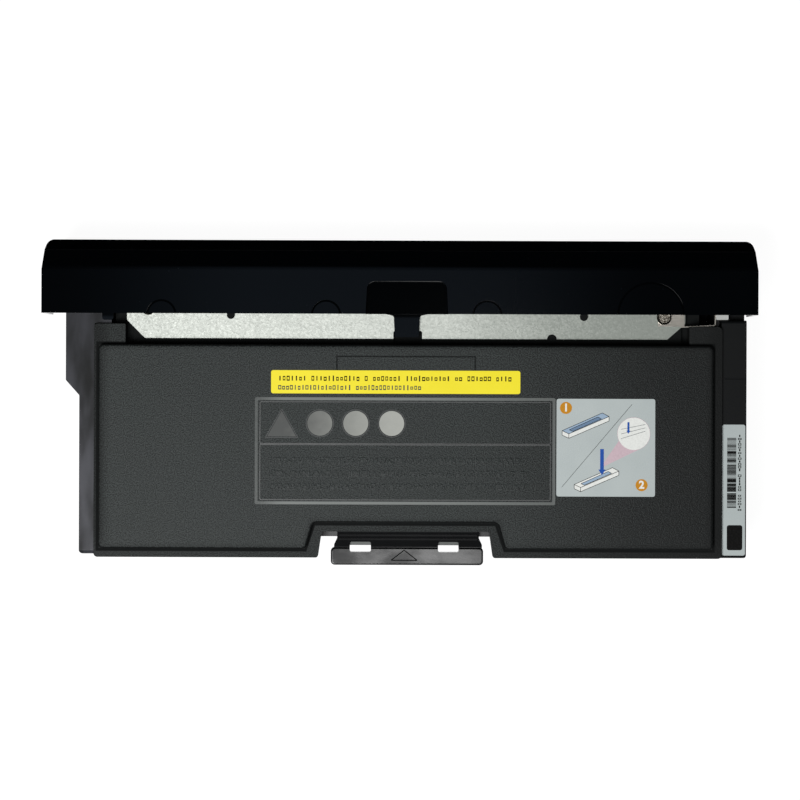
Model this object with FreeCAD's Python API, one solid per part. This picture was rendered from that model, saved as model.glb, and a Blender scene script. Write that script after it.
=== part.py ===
import FreeCAD, Part
import math
import os

# Toner cartridge of a laser printer, lying flat with its label side up.
# X runs along the rollers, Y points to the developer roller side, Z is up.
# The origin is the middle of the base of the whole cartridge. Sizes are millimetres.

# General walls and clearances
wall = 2.0
thin_wall = 1.5
running_clearance = 0.05
bush_gap = 0.1
seat_gap = 0.3
film_thickness = 0.4

# Developer roller, which the front of the cartridge is built around
roller_y = 50.0
roller_z = 27.0
roller_radius = 10.0
roller_shaft_radius = 4.0
journal_radius = 3.0
left_spacer_inset = 11.0
left_spacer_width = 3.0
right_spacer_inset = 11.7
right_spacer_width = 4.0
spacer_rise = 1.4
left_sleeve_gap = 5.5
right_sleeve_gap = 5.4
bush_rise = 1.2
bush_thickness = 5.0
bush_boss_radius = 7.0
lip_gap = 1.5

# Levels, built up from the roller
rim_rise = 5.3
block_height = 6.2
flange_thickness = 2.0
panel_rise = 3.5
frame_drop = 2.3
handle_drop = 12.5

# Hopper: the lid's outline seen from above, its front edges counted back from the roller's axis
body_left = -137.5
body_right = 145.1
body_rear = -70.0
panel_setback = 24.3
panel_rear_margin = 4.0
panel_margin_left = 2.2
panel_margin_right = 4.2
panel_corner = 2.5
panel_edge = 1.2
block_setback = 15.1
block_stagger = 0.6
left_block_width = 14.1
right_block_width = 14.8
groove_width = 3.0
shelf_setback = 9.0

# End walls of the hopper seen from the side, counted from the roller's axis and the lid's rear edge
end_rear_margin = 3.2
end_shoulder_ahead = 6.0
end_nose_ahead = 12.0
end_nose_above = 9.0
end_nose_below = 10.0
end_chin_ahead = 7.0
end_chin_below = 16.5
end_toe_behind = 19.0
end_toe_height = 8.5
end_sole_behind = 25.0
end_sole_height = 1.5
end_heel_height = 13.0

# Lower lip, and the seals that close the gap round the developer roller
lip_ahead = 6.0
lip_bend = 2.0
end_seal_lap = 4.0
end_seal_behind = 4.0
end_seal_ahead = 5.5
lower_film_lap = 3.0
lower_film_rise = 0.9
seal_ring_gap = 0.25

# Notch in the lid above the handle
notch_left = -34.9
notch_right = 40.5
notch_depth = 11.8
notch_flare = 1.7
notch_wall = 4.1
notch_step = 3.7
notch_ramp = 3.3

# Raised frame on the lid: left, right, rear and front edges, and its ridge
lid_frame = (-64.8, 69.9, -45.9, 2.1)
lid_frame_width = 1.3
lid_frame_height = 0.15
lid_frame_corner = 0.8

# Supply roller, pressed close to the developer roller
supply_radius = 7.0
supply_shaft_radius = 3.0
supply_angle = 25.0
nip_gap = 0.15
supply_clearance = 1.5
supply_bush_radius = 5.0
shaft_seal_width = 2.5

# Agitators in their two troughs
trough_radius = 21.5
trough_lift = 1.5
agitator_shaft_radius = 3.0
agitator_clearance = 2.2
rail_height = 6.0
rail_half_width = 1.2
flap_count = 6
flap_slit = 1.2
rib_thickness = 1.6
rib_count = 9
foot_radius = 2.5
foot_reach = 14.0
foot_taper = 3.0

# Fill hole in the right end wall
fill_radius = 9.0
fill_rim = 1.5
fill_centre = (-18.0, 34.0)

# Gear train on the left end wall
gear_module = 1.0
gear_addendum = 0.85
gear_dedendum = 1.15
gear_backlash = 0.12
developer_teeth = 26
drive_outer_teeth = 22
drive_inner_teeth = 21
supply_teeth = 15
agitator_teeth = 28
idler_teeth = 16
inner_gear_gap = 1.1
inner_gear_width = 3.7
outer_gear_gap = 0.5
outer_gear_width = 5.8
gear_pocket = 1.4
gear_hub_radius = 8.0
post_radius = 2.5
drive_stub_radius = 3.1
drive_stub_length = 2.6
drive_dog_height = 1.6
drive_dog_reach = 5.2
drive_dog_half_width = 1.1
drive_window_radius = 6.5

# End frames
frame_gear_gap = 0.4
rear_gear_gap = 0.6
right_frame_depth = 11.3
left_frame_margin = 1.2
right_frame_margin = 0.1
frame_step_setback = 40.5
frame_step_length = 6.8
nose_gap = 1.15
right_nose_margin = 1.5
right_shelf_setback = 12.6
right_shelf_rise = 0.7
left_shelf_width = 7.6
frame_foot_setback = 4.0
frame_foot_rear = -57.0

# Screws and their bosses: two spots on the end walls and one near the roller
end_screw_spots = ((-61.0, 42.0), (-17.0, 6.5))
left_front_screw = (13.0, 44.5)
right_front_screw = (20.0, 44.0)
screw_pilot_radius = 1.2
screw_shank_radius = 1.5
screw_boss_radius = 3.0
frame_boss_radius = 4.3
front_boss_radius = 4.2
screw_head_radius = 3.35
frame_head_radius = 2.75
screw_head_height = 2.0
screw_head_bevel = 0.8
screw_recess_depth = 1.0
short_screw = 6.0
long_screw = 13.0

# Blade bracket, folded from galvanised sheet
sheet = 1.2
bracket_inset_left = 14.2
bracket_inset_right = 16.1
bracket_depth = 19.8
bracket_setback = 1.5
bracket_fold_height = 7.5
bend_radius = 0.8
bracket_chamfer = 8.1
bracket_corner = 1.0
bracket_notch_depth = 3.6
bracket_screw_inset = 9.7
left_screw_setback = 7.6
right_screw_setback = 11.3
peg_spots = ((-76.4, 10.8), (83.2, 11.2))
peg_radius = 1.8
peg_proud = 0.8
locating_notch_x = 68.8
locating_notch_radius = 2.2
blade_sheet = 0.3
blade_lift = 1.4

# Contact strip and the grey block at its end
strip_thickness = 0.5
strip_lap = 2.7
strip_corner_inset = 2.8
electrode_block_width = 5.6
electrode_block_height = 5.6

# Protective cover, counted forward and back from the roller's axis
cover_end_gap = 2.9
cover_wall = 2.0
cover_reach_back = 10.3
cover_crease_reach = 9.5
cover_knee_run = 9.0
cover_knee_drop = 5.5
cover_brow_run = 5.4
cover_brow_drop = 15.5
cover_bottom = 11.0
cover_end_taper = 0.8
cover_corner = 3.0
cover_step_depth = 8.0
cover_step_drop = 22.5
thumb_left = -15.5
thumb_right = 21.8
thumb_reach = 4.5
thumb_depth = 2.9
tongue_left = -2.3
tongue_right = 8.6
tongue_gap_left = 0.6
tongue_gap_right = 1.5
tongue_length = 10.3
tongue_thickness = 1.5
hook_length = 2.6
cover_tab_width = 5.0
cover_tab_inset = 3.6
cover_tab_length = 3.1
cover_marks = ((-107.3, 6.8), (-33.2, 6.8), (39.4, 6.8), (113.0, 15.3))
mark_width = 0.9
mark_depth = 0.4

# Grip handle, set in from the notch that it shows in
handle_thickness = 3.4
neck_inset_left = 6.8
neck_inset_right = 4.3
neck_flare = 1.4
grip_over_left = 2.9
grip_over_right = 2.0
grip_depth = 8.0
grip_overhang = 3.9
grip_rise = 0.6
grip_edge = 0.8
neck_rib_count = 3
neck_rib_inset = 0.4
neck_rib_pitch = 1.8
left_slot = (5.7, 9.6)
right_slot = (9.2, 9.3)
slot_length = 4.6
slot_setback = 2.5
recess_margin = 1.0
recess_step = 1.7

# Labels: left, right, rear and front edges
label_thickness = 0.15
yellow_label = (-57.6, 54.1, 3.8, 14.2)
steps_label = (70.4, 114.6, -42.0, 1.8)
serial_label_width = 10.4
serial_label_margin = 0.5
serial_label_rear_margin = 1.3
serial_label_length = 59.0


def box(x0, x1, y0, y1, z0, z1):
    corner = FreeCAD.Vector(x0, y0, z0)
    return Part.makeBox(x1 - x0, y1 - y0, z1 - z0, corner)


def rod(radius, x0, x1, y, z):
    """Round bar along X."""
    return Part.makeCylinder(radius, x1 - x0, FreeCAD.Vector(x0, y, z), FreeCAD.Vector(1, 0, 0))


def disc(radius, x, y, z0, z1):
    """Round bar along Z."""
    return Part.makeCylinder(radius, z1 - z0, FreeCAD.Vector(x, y, z0), FreeCAD.Vector(0, 0, 1))


def fuse_all(shapes):
    result = shapes[0]
    if len(shapes) > 1:
        result = shapes[0].multiFuse(shapes[1:])
    return result.removeSplitter()


def rounded_wire(corners, place):
    """Closed wire through corners (u, v, radius), each turned with its own radius."""
    ends = []
    count = len(corners)
    for index in range(count):
        u, v, radius = corners[index]
        before = corners[index - 1]
        after = corners[(index + 1) % count]
        point = FreeCAD.Vector(u, v, 0)
        back = (FreeCAD.Vector(before[0], before[1], 0) - point).normalize()
        ahead = (FreeCAD.Vector(after[0], after[1], 0) - point).normalize()
        half = back.getAngle(ahead) / 2
        if radius > 0:
            reach = radius / math.tan(half)
            middle = (back + ahead).normalize() * (radius / math.sin(half) - radius)
            ends.append((point + back * reach, point + middle, point + ahead * reach))
        else:
            ends.append((point, None, point))
    edges = []
    for index in range(count):
        start, middle, finish = ends[index]
        if middle is not None:
            edges.append(Part.Arc(place(start), place(middle), place(finish)).toShape())
        following = ends[(index + 1) % count][0]
        if finish.distanceToPoint(following) > 1e-6:
            edges.append(Part.LineSegment(place(finish), place(following)).toShape())
    return Part.Wire(edges)


def side_prism(corners, x0, x1):
    """Side view outline (y, z, radius) drawn out along X."""
    wire = rounded_wire(corners, lambda p: FreeCAD.Vector(x0, p.x, p.y))
    return Part.Face(wire).extrude(FreeCAD.Vector(x1 - x0, 0, 0))


def plan_prism(corners, z0, z1):
    """Top view outline (x, y, radius) drawn up along Z."""
    wire = rounded_wire(corners, lambda p: FreeCAD.Vector(p.x, p.y, z0))
    return Part.Face(wire).extrude(FreeCAD.Vector(0, 0, z1 - z0))


def plan_plate(x0, x1, y0, y1, radius, z0, z1):
    corners = [(x0, y0, radius), (x1, y0, radius), (x1, y1, radius), (x0, y1, radius)]
    return plan_prism(corners, z0, z1)


def fillet_where(shape, radius, wanted):
    edges = [edge for edge in shape.Edges if wanted(edge)]
    return shape.makeFillet(radius, edges)


def edges_at_height(height):
    """Chooses the edges that lie wholly at one height."""
    def wanted(edge):
        bounds = edge.BoundBox
        return abs(bounds.ZMin - height) < 1e-4 and abs(bounds.ZMax - height) < 1e-4
    return wanted


# Where the shafts run, worked out from the rollers and the gear teeth
def circles_meet(first, first_radius, second, second_radius):
    """Upper meeting point of two circles in the side view."""
    dy = second[0] - first[0]
    dz = second[1] - first[1]
    distance = math.hypot(dy, dz)
    along = (first_radius ** 2 - second_radius ** 2 + distance ** 2) / (2 * distance)
    across = math.sqrt(first_radius ** 2 - along ** 2)
    foot = (first[0] + along * dy / distance, first[1] + along * dz / distance)
    return (foot[0] + across * dz / distance, foot[1] - across * dy / distance)


def centre_distance(first_teeth, second_teeth):
    return gear_module * (first_teeth + second_teeth) / 2


agitator_z = trough_radius + wall + trough_lift
developer_axis = (roller_y, roller_z)
supply_distance = roller_radius + supply_radius + nip_gap
supply_axis = (
    roller_y - supply_distance * math.cos(math.radians(supply_angle)),
    roller_z - supply_distance * math.sin(math.radians(supply_angle)),
)
drive_axis = circles_meet(
    developer_axis, centre_distance(developer_teeth, drive_outer_teeth),
    supply_axis, centre_distance(drive_inner_teeth, supply_teeth),
)
drive_to_front = centre_distance(drive_inner_teeth, agitator_teeth)
front_axis = (
    drive_axis[0] - math.sqrt(drive_to_front ** 2 - (drive_axis[1] - agitator_z) ** 2),
    agitator_z,
)
idler_axis = (front_axis[0] - centre_distance(agitator_teeth, idler_teeth), agitator_z)
rear_axis = (idler_axis[0] - centre_distance(agitator_teeth, idler_teeth), agitator_z)

# Levels that follow from the roller
front_rim = roller_z + roller_radius + rim_rise
shelf_floor = front_rim + wall
shelf_top = shelf_floor + wall
bracket_top = shelf_top + sheet
bracket_fold_bottom = bracket_top - bracket_fold_height
flange_top = shelf_top + block_height
flange_bottom = flange_top - flange_thickness
panel_top = flange_top + panel_rise
frame_top = flange_top - frame_drop
right_shelf_top = front_rim + right_shelf_rise
handle_floor = flange_top - handle_drop
cover_top = flange_top
cover_step_top = cover_top - cover_step_drop

# Places along the rollers
cheek_left = body_left + wall
cheek_right = body_right - wall
block_left_end = body_left + left_block_width
block_right_end = body_right - right_block_width
spacer_radius = roller_radius + spacer_rise
bush_radius = spacer_radius + bush_rise
lip_radius = roller_radius + lip_gap
left_spacer_end = body_left + left_spacer_inset
left_spacer = (left_spacer_end, left_spacer_end + left_spacer_width)
right_spacer_end = body_right - right_spacer_inset
right_spacer = (right_spacer_end - right_spacer_width, right_spacer_end)
sleeve_left = left_spacer[1] + left_sleeve_gap
sleeve_right = right_spacer[0] - right_sleeve_gap
inner_left = left_spacer[0] - seat_gap
inner_right = right_spacer[1] + seat_gap
left_bush_left = inner_left - wall - bush_gap - bush_thickness
right_bush_left = inner_right + wall + bush_gap
seal_ring_radius = supply_distance - bush_radius - seal_ring_gap
inner_plane = (body_left - inner_gear_gap - inner_gear_width, body_left - inner_gear_gap)
outer_plane = (inner_plane[0] - outer_gear_gap - outer_gear_width, inner_plane[0] - outer_gear_gap)
drive_stub_end = outer_plane[0] - drive_stub_length
left_frame_outer = outer_plane[0] - frame_gear_gap - thin_wall
left_frame_rear_outer = inner_plane[0] - rear_gear_gap - thin_wall
right_frame_outer = body_right + right_frame_depth
left_screw_seat = left_frame_rear_outer + screw_head_height
right_screw_seat = right_frame_outer - screw_head_height
bracket_left = body_left + bracket_inset_left
bracket_right = body_right - bracket_inset_right
cover_half_length = max(right_frame_outer, -left_frame_outer) + cover_end_gap + cover_wall
cover_tab_left = body_left + cover_tab_inset
bracket_notch = (tongue_left - tongue_gap_left, tongue_right + tongue_gap_right)
serial_label_right = right_frame_outer - serial_label_margin

# Places counted from the roller's axis
panel_front = roller_y - panel_setback
block_front = roller_y - block_setback
right_block_front = block_front - block_stagger
shelf_front = roller_y - shelf_setback
bracket_front = roller_y - bracket_setback
bracket_rear = bracket_front - bracket_depth
bracket_notch_front = bracket_rear + bracket_notch_depth
peg_places = [(x, roller_y - setback) for x, setback in peg_spots]
screw_places = (
    (bracket_left + bracket_screw_inset, roller_y - left_screw_setback),
    (bracket_right - bracket_screw_inset, roller_y - right_screw_setback),
)
frame_step_front = roller_y - frame_step_setback
frame_step_rear = frame_step_front - frame_step_length
developer_gear_tip = gear_module * (developer_teeth / 2 + gear_addendum)
frame_nose = roller_y + developer_gear_tip + nose_gap + thin_wall
frame_foot_front = roller_y - frame_foot_setback
right_shelf_front = roller_y - right_shelf_setback
cover_rear = roller_y - cover_reach_back
cover_crease = roller_y + cover_crease_reach
cover_knee = cover_crease + cover_knee_run
cover_front = cover_knee + cover_brow_run
thumb_front = roller_y + thumb_reach
tongue_rear = cover_rear - tongue_length

# Places counted from the rear edge and its notch
rear_wall = rear_axis[0] - trough_radius
panel_rear = body_rear + panel_rear_margin
left_frame_rear = body_rear + left_frame_margin
right_frame_rear = body_rear + right_frame_margin
notch_front = body_rear + notch_depth
recess_front = notch_front + recess_step
recess_left = notch_left - recess_margin
recess_right = notch_right + recess_margin
neck_left = notch_left + neck_inset_left
neck_right = notch_right - neck_inset_right
grip_left = neck_left - grip_over_left
grip_right = neck_right + grip_over_right
grip_rear = body_rear - grip_overhang
grip_front = grip_rear + grip_depth
slot_front = grip_front + slot_setback
slot_rear = slot_front - slot_length
handle_slots = (
    (neck_left + left_slot[0], neck_left + left_slot[0] + left_slot[1]),
    (neck_right - right_slot[0] - right_slot[1], neck_right - right_slot[0]),
)
serial_label_rear = right_frame_rear + serial_label_rear_margin
serial_label = (
    serial_label_right - serial_label_width, serial_label_right,
    serial_label_rear, serial_label_rear + serial_label_length,
)
left_screw_spots = end_screw_spots + (left_front_screw,)
right_screw_spots = end_screw_spots + (right_front_screw,)


def lid_outline(front, inset):
    """Corners of the lid's flange seen from above, with the notch for the handle."""
    rear = body_rear + inset
    return [
        (body_left + inset, rear, 1.8),
        (notch_left - notch_flare - inset, rear, 1.2),
        (notch_left - inset, notch_front + inset, 1.3),
        (notch_right + inset, notch_front + inset, 1.3),
        (notch_right + notch_flare + inset, rear, 1.2),
        (body_right - inset, rear, 1.8),
        (body_right - inset, front, 0),
        (body_left + inset, front, 0),
    ]


def panel_outline(inset):
    """Corners of the lid's raised panel, which steps round the notch."""
    left = body_left + panel_margin_left + inset
    right = body_right - panel_margin_right - inset
    rear = panel_rear + inset
    front = panel_front - inset
    corner = max(panel_corner - inset, 0.6)
    step = notch_front + notch_wall + inset
    return [
        (left, rear, corner),
        (notch_left - notch_step - notch_ramp - inset, rear, corner),
        (notch_left - notch_step - inset, step, corner),
        (notch_right + notch_step + inset, step, corner),
        (notch_right + notch_step + notch_ramp + inset, rear, corner),
        (right, rear, corner),
        (right, front, corner),
        (left, front, corner),
    ]


def end_outline(top):
    """Side view of the end walls of the hopper base."""
    return [
        (body_rear + end_rear_margin, top, 0),
        (panel_front - wall, top, 0),
        (panel_front - wall, front_rim, 0),
        (roller_y + end_shoulder_ahead, front_rim, 3),
        (roller_y + end_nose_ahead, roller_z + end_nose_above, 4),
        (roller_y + end_nose_ahead, roller_z - end_nose_below, 4),
        (roller_y + end_chin_ahead, roller_z - end_chin_below, 4),
        (roller_y - end_toe_behind, end_toe_height, 3),
        (roller_y - end_sole_behind, end_sole_height, 3),
        (frame_foot_rear, end_sole_height, 6),
        (body_rear + end_rear_margin, end_heel_height, 6),
    ]


def trough_skin(radius, lower_radius, x0, x1):
    """The two agitator troughs, the space above them and the supply trough."""
    rear = rear_axis[0] - radius
    parts = [
        rod(radius, x0, x1, *front_axis),
        rod(radius, x0, x1, *rear_axis),
        box(x0, x1, rear, panel_front - wall, agitator_z, flange_bottom),
        rod(lower_radius, x0, x1, *supply_axis),
        box(x0, x1, front_axis[0], supply_axis[0], supply_axis[1], front_rim),
    ]
    return fuse_all(parts)


def lower_lip():
    """Front lip that runs under the developer roller."""
    under_supply = supply_axis[1] - supply_radius - supply_clearance - wall
    corners = [
        (supply_axis[0], under_supply, 0),
        (roller_y + lip_ahead - lip_bend, under_supply + 3.2, 1.5),
        (roller_y + lip_ahead, under_supply + 5, 1.5),
        (roller_y + lip_ahead, roller_z, 0),
        (supply_axis[0], roller_z, 0),
    ]
    return side_prism(corners, body_left, body_right)


def make_hopper_base():
    supply_cut = supply_radius + supply_clearance
    outer = trough_skin(trough_radius + wall, supply_cut + wall, body_left, body_right)
    recess = box(recess_left, recess_right, body_rear, recess_front, handle_floor, flange_top)
    flange = plan_prism(lid_outline(panel_front - wall, 0), flange_bottom - wall, flange_bottom)
    outer = fuse_all([outer.cut(recess), lower_lip(), flange])
    chambers = fuse_all([
        rod(trough_radius, cheek_left, cheek_right, *front_axis),
        rod(trough_radius, cheek_left, cheek_right, *rear_axis),
        box(cheek_left, cheek_right, rear_wall, panel_front - wall, agitator_z, flange_top),
    ])
    recess_walls = box(recess_left - wall, recess_right + wall, body_rear,
                       recess_front + wall, handle_floor - wall, flange_top)
    base = outer.cut(chambers.cut(recess_walls))
    bays = ((cheek_left, inner_left - wall), (inner_left, inner_right), (inner_right + wall, cheek_right))
    for x0, x1 in bays:
        reach = lip_radius
        if x0 != inner_left:
            reach = bush_radius + running_clearance
        base = base.cut(fuse_all([
            rod(supply_cut, x0, x1, *supply_axis),
            rod(reach, x0, x1, *developer_axis),
            box(x0, x1, front_axis[0] + 10, roller_y + 20, supply_axis[1], flange_top),
        ]))
    walls = []
    for x0, x1 in ((body_left, cheek_left), (cheek_right, body_right)):
        walls.append(side_prism(end_outline(flange_bottom), x0, x1))
    for x0 in (inner_left - wall, inner_right):
        wall_plate = box(x0, x0 + wall, front_axis[0] + trough_radius - 3, shelf_front,
                         supply_axis[1] - supply_cut, front_rim)
        walls.append(wall_plate.cut(rod(spacer_radius + 0.8, x0, x0 + wall, *developer_axis)))
    base = base.cut(rod(spacer_radius + 0.8, inner_left - wall, inner_right + wall, *developer_axis))
    base = fuse_all([base] + walls + bottom_ribs() + gear_posts() + screw_bosses())
    return base.cut(fuse_all(base_holes()))


def bottom_ribs():
    """Cross ribs under the troughs, which the cartridge lies on."""
    skin_bottom = agitator_z - trough_radius - wall
    corners = [
        (rear_axis[0] - foot_reach, 0, foot_radius),
        (front_axis[0] + foot_reach, 0, foot_radius),
        (front_axis[0] + foot_reach + foot_taper, skin_bottom + 6.5, 0),
        (front_axis[0], skin_bottom + thin_wall, 0),
        (idler_axis[0], agitator_z - 5, 0),
        (rear_axis[0], skin_bottom + thin_wall, 0),
        (rear_axis[0] - foot_reach - foot_taper, skin_bottom + 6.5, 0),
    ]
    span = body_right - body_left - rib_thickness
    ribs = []
    keep_out = fuse_all([
        rod(trough_radius + wall / 2, body_left, body_right, *front_axis),
        rod(trough_radius + wall / 2, body_left, body_right, *rear_axis),
    ])
    for index in range(rib_count):
        x = body_left + span * index / (rib_count - 1)
        ribs.append(side_prism(corners, x, x + rib_thickness).cut(keep_out))
    return ribs


def gear_posts():
    drive_post = rod(post_radius, outer_plane[0] + 1.5, body_left, *drive_axis)
    idler_post = rod(post_radius, inner_plane[0], body_left, *idler_axis)
    return [drive_post, idler_post]


def screw_bosses():
    bosses = []
    for y, z in end_screw_spots:
        bosses.append(rod(screw_boss_radius, left_screw_seat + thin_wall, body_left, y, z))
    for y, z in right_screw_spots:
        bosses.append(rod(screw_boss_radius, body_right, right_screw_seat - thin_wall, y, z))
    return bosses


def base_holes():
    """Bearing holes, the fill hole and the pilot holes of the frame screws."""
    shaft_hole = agitator_shaft_radius + running_clearance
    holes = [
        rod(bush_boss_radius + running_clearance, body_left, cheek_left, *developer_axis),
        rod(bush_boss_radius + running_clearance, cheek_right, body_right, *developer_axis),
        rod(supply_bush_radius + running_clearance, body_left, cheek_left, *supply_axis),
        rod(supply_bush_radius + running_clearance, cheek_right, body_right, *supply_axis),
        rod(supply_shaft_radius + 0.5, cheek_left, cheek_right, *supply_axis),
        rod(shaft_hole, body_left, cheek_left, *front_axis),
        rod(shaft_hole, body_left, cheek_left, *rear_axis),
        rod(shaft_hole, cheek_right, body_right, *front_axis),
        rod(shaft_hole, cheek_right, body_right, *rear_axis),
        rod(fill_radius + running_clearance, cheek_right, body_right, *fill_centre),
    ]
    for y, z in left_screw_spots:
        holes.append(rod(screw_pilot_radius, left_frame_rear_outer, cheek_left, y, z))
    for y, z in right_screw_spots:
        holes.append(rod(screw_pilot_radius, body_right, right_frame_outer, y, z))
    return holes


def make_fill_cap():
    plug = rod(fill_radius, cheek_right, body_right, *fill_centre)
    rim = rod(fill_radius + fill_rim, body_right, body_right + fill_rim, *fill_centre)
    hollow = rod(fill_radius - thin_wall, cheek_right + 1.0, body_right + fill_rim, *fill_centre)
    return fuse_all([plug, rim]).cut(hollow)


def make_hopper_lid():
    flange = plan_prism(lid_outline(panel_front, 0), flange_bottom, flange_top)
    panel = plan_prism(panel_outline(0), flange_top - 0.5, panel_top)
    panel = fillet_where(panel, panel_edge, edges_at_height(panel_top))
    front_wall = box(body_left, body_right, panel_front - wall, panel_front, front_rim, flange_top)
    floor = box(inner_left - wall, inner_right + wall, panel_front - wall, shelf_front,
                front_rim, shelf_floor)
    end_floor = box(body_left, body_right, panel_front - wall, right_block_front,
                    front_rim, shelf_floor)
    shelf = box(block_left_end + groove_width, block_right_end - groove_width,
                panel_front - wall, shelf_front, front_rim, shelf_top)
    left_block = plan_prism([
        (body_left, panel_front - wall, 0), (block_left_end, panel_front - wall, 0),
        (block_left_end, block_front, 0.6), (body_left, block_front, 1.6)], shelf_floor, flange_top)
    right_block = plan_prism([
        (block_right_end, panel_front - wall, 0), (body_right, panel_front - wall, 0),
        (body_right, right_block_front, 2.0), (block_right_end, right_block_front, 0.6)],
        shelf_floor, flange_top)
    lid = fuse_all([flange, panel, front_wall, floor, end_floor, shelf, left_block, right_block])
    under = plan_prism(panel_outline(wall), flange_bottom, panel_top - wall)
    lid = lid.cut(under)
    pockets = [
        box(body_left + wall, block_left_end - wall, panel_front, block_front - wall,
            front_rim, flange_bottom),
        box(block_right_end + wall, body_right - wall, panel_front, right_block_front - wall,
            front_rim, flange_bottom),
        box(bracket_notch[0], bracket_notch[1], panel_front + 0.6, bracket_notch_front,
            shelf_floor, shelf_top),
    ]
    lid = lid.cut(fuse_all(pockets))
    pegs = [disc(peg_radius, x, y, shelf_floor, bracket_top + peg_proud) for x, y in peg_places]
    lid = fuse_all([lid, raised_frame()] + pegs)
    pilots = [disc(screw_pilot_radius, x, y, front_rim - 6, shelf_top + 1) for x, y in screw_places]
    bosses = [disc(screw_boss_radius, x, y, front_rim - 5, front_rim + 0.5) for x, y in screw_places]
    x, y = screw_places[0]
    bosses.append(disc(front_boss_radius, x, y, front_rim - 1, shelf_top))
    return fuse_all([lid] + bosses).cut(fuse_all(pilots))


def raised_frame():
    """Low ridge round the marked field on the lid's panel."""
    x0, x1, y0, y1 = lid_frame
    top = panel_top + lid_frame_height
    outer = plan_plate(x0, x1, y0, y1, lid_frame_corner, panel_top - wall / 2, top)
    inner = plan_plate(x0 + lid_frame_width, x1 - lid_frame_width, y0 + lid_frame_width,
                       y1 - lid_frame_width, lid_frame_corner / 2, panel_top - wall / 2, top)
    return outer.cut(inner)


def frame_underside(rear, nose, inset):
    """Lower edge of an end frame from its nose back, with the foot that it stands on."""
    return [
        (nose - inset, roller_z - 9, 4),
        (frame_foot_front + 9 - inset, 7 + inset, 4),
        (frame_foot_front - inset, inset, 3),
        (frame_foot_rear + inset, inset, 7),
        (rear + inset, 13, 7),
    ]


def left_frame_side(inset):
    """Side view of the left frame, whose nose goes round the developer gear."""
    top = frame_top - inset
    return [
        (left_frame_rear + inset, top, 2),
        (roller_y + 2 - inset, top, 3),
        (roller_y + 10 - inset, top - 4.2, 3),
        (frame_nose - inset, roller_z + 10, 4),
    ] + frame_underside(left_frame_rear, frame_nose, inset)


def right_frame_side(inset):
    """Side view of the right frame, which drops to a lower shelf under the cover."""
    nose = frame_nose - right_nose_margin
    return [
        (right_frame_rear + inset, frame_top - inset, 2 - inset / 2),
        (right_shelf_front - inset, frame_top - inset, 1.5 - inset / 2),
        (right_shelf_front - inset, right_shelf_top - inset, 0),
        (roller_y + 8 - inset, right_shelf_top - inset, 3),
        (nose - inset, roller_z + 9, 4),
    ] + frame_underside(right_frame_rear, nose, inset)


def left_frame_plan(inset):
    front = left_frame_outer + inset
    rear = left_frame_rear_outer + inset
    return [
        (body_left, left_frame_rear + inset, 0),
        (rear, left_frame_rear + inset, 1.8),
        (rear, frame_step_rear - 0.3 * inset, 1.0),
        (front, frame_step_front - 0.3 * inset, 1.0),
        (front, frame_nose - inset, 1.5),
        (body_left, frame_nose - inset, 0),
    ]


def make_left_frame():
    outer = side_prism(left_frame_side(0), left_frame_outer, body_left)
    outer = outer.common(plan_prism(left_frame_plan(0), 0, frame_top))
    inner = side_prism(left_frame_side(thin_wall), left_frame_outer, body_left)
    inner = inner.common(plan_prism(left_frame_plan(thin_wall), 0, frame_top))
    frame = outer.cut(inner)
    shelf = box(body_left, body_left + left_shelf_width, block_front + seat_gap, roller_y - 5,
                frame_top - thin_wall, frame_top)
    bosses = [rod(frame_boss_radius, left_frame_outer + 0.5, body_left, *left_front_screw)]
    for y, z in end_screw_spots:
        bosses.append(rod(frame_boss_radius, left_frame_rear_outer, left_screw_seat + thin_wall, y, z))
    frame = fuse_all([frame, shelf] + bosses)
    cuts = [
        rod(drive_window_radius, left_frame_outer - 1, outer_plane[0], *drive_axis),
        rod(frame_head_radius + seat_gap, left_frame_outer - 1, left_frame_outer + thin_wall,
            *left_front_screw),
    ]
    for y, z in left_screw_spots:
        cuts.append(rod(screw_shank_radius, left_frame_outer, body_left, y, z))
    for y, z in end_screw_spots:
        cuts.append(rod(frame_head_radius + seat_gap, left_frame_outer, left_screw_seat, y, z))
    return frame.cut(fuse_all(cuts))


def make_right_frame():
    outer = side_prism(right_frame_side(0), body_right, right_frame_outer)
    plan = [
        (body_right, right_frame_rear, 0), (right_frame_outer, right_frame_rear, 1.2),
        (right_frame_outer, frame_nose, 0), (body_right, frame_nose, 0)]
    outer = outer.common(plan_prism(plan, 0, frame_top))
    inner = side_prism(right_frame_side(thin_wall), body_right, right_frame_outer - thin_wall)
    frame = outer.cut(inner)
    bosses = [rod(bush_boss_radius + thin_wall, right_frame_outer - 6, right_frame_outer - 1,
                  *developer_axis)]
    for y, z in right_screw_spots:
        bosses.append(rod(frame_boss_radius, right_screw_seat - thin_wall, right_frame_outer, y, z))
    frame = fuse_all([frame] + bosses)
    cuts = [rod(journal_radius + running_clearance, body_right, right_frame_outer - thin_wall,
                *developer_axis)]
    for y, z in right_screw_spots:
        cuts.append(rod(screw_shank_radius, body_right, right_frame_outer, y, z))
        cuts.append(rod(frame_head_radius + seat_gap, right_screw_seat, right_frame_outer + 1, y, z))
    return frame.cut(fuse_all(cuts))


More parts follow.
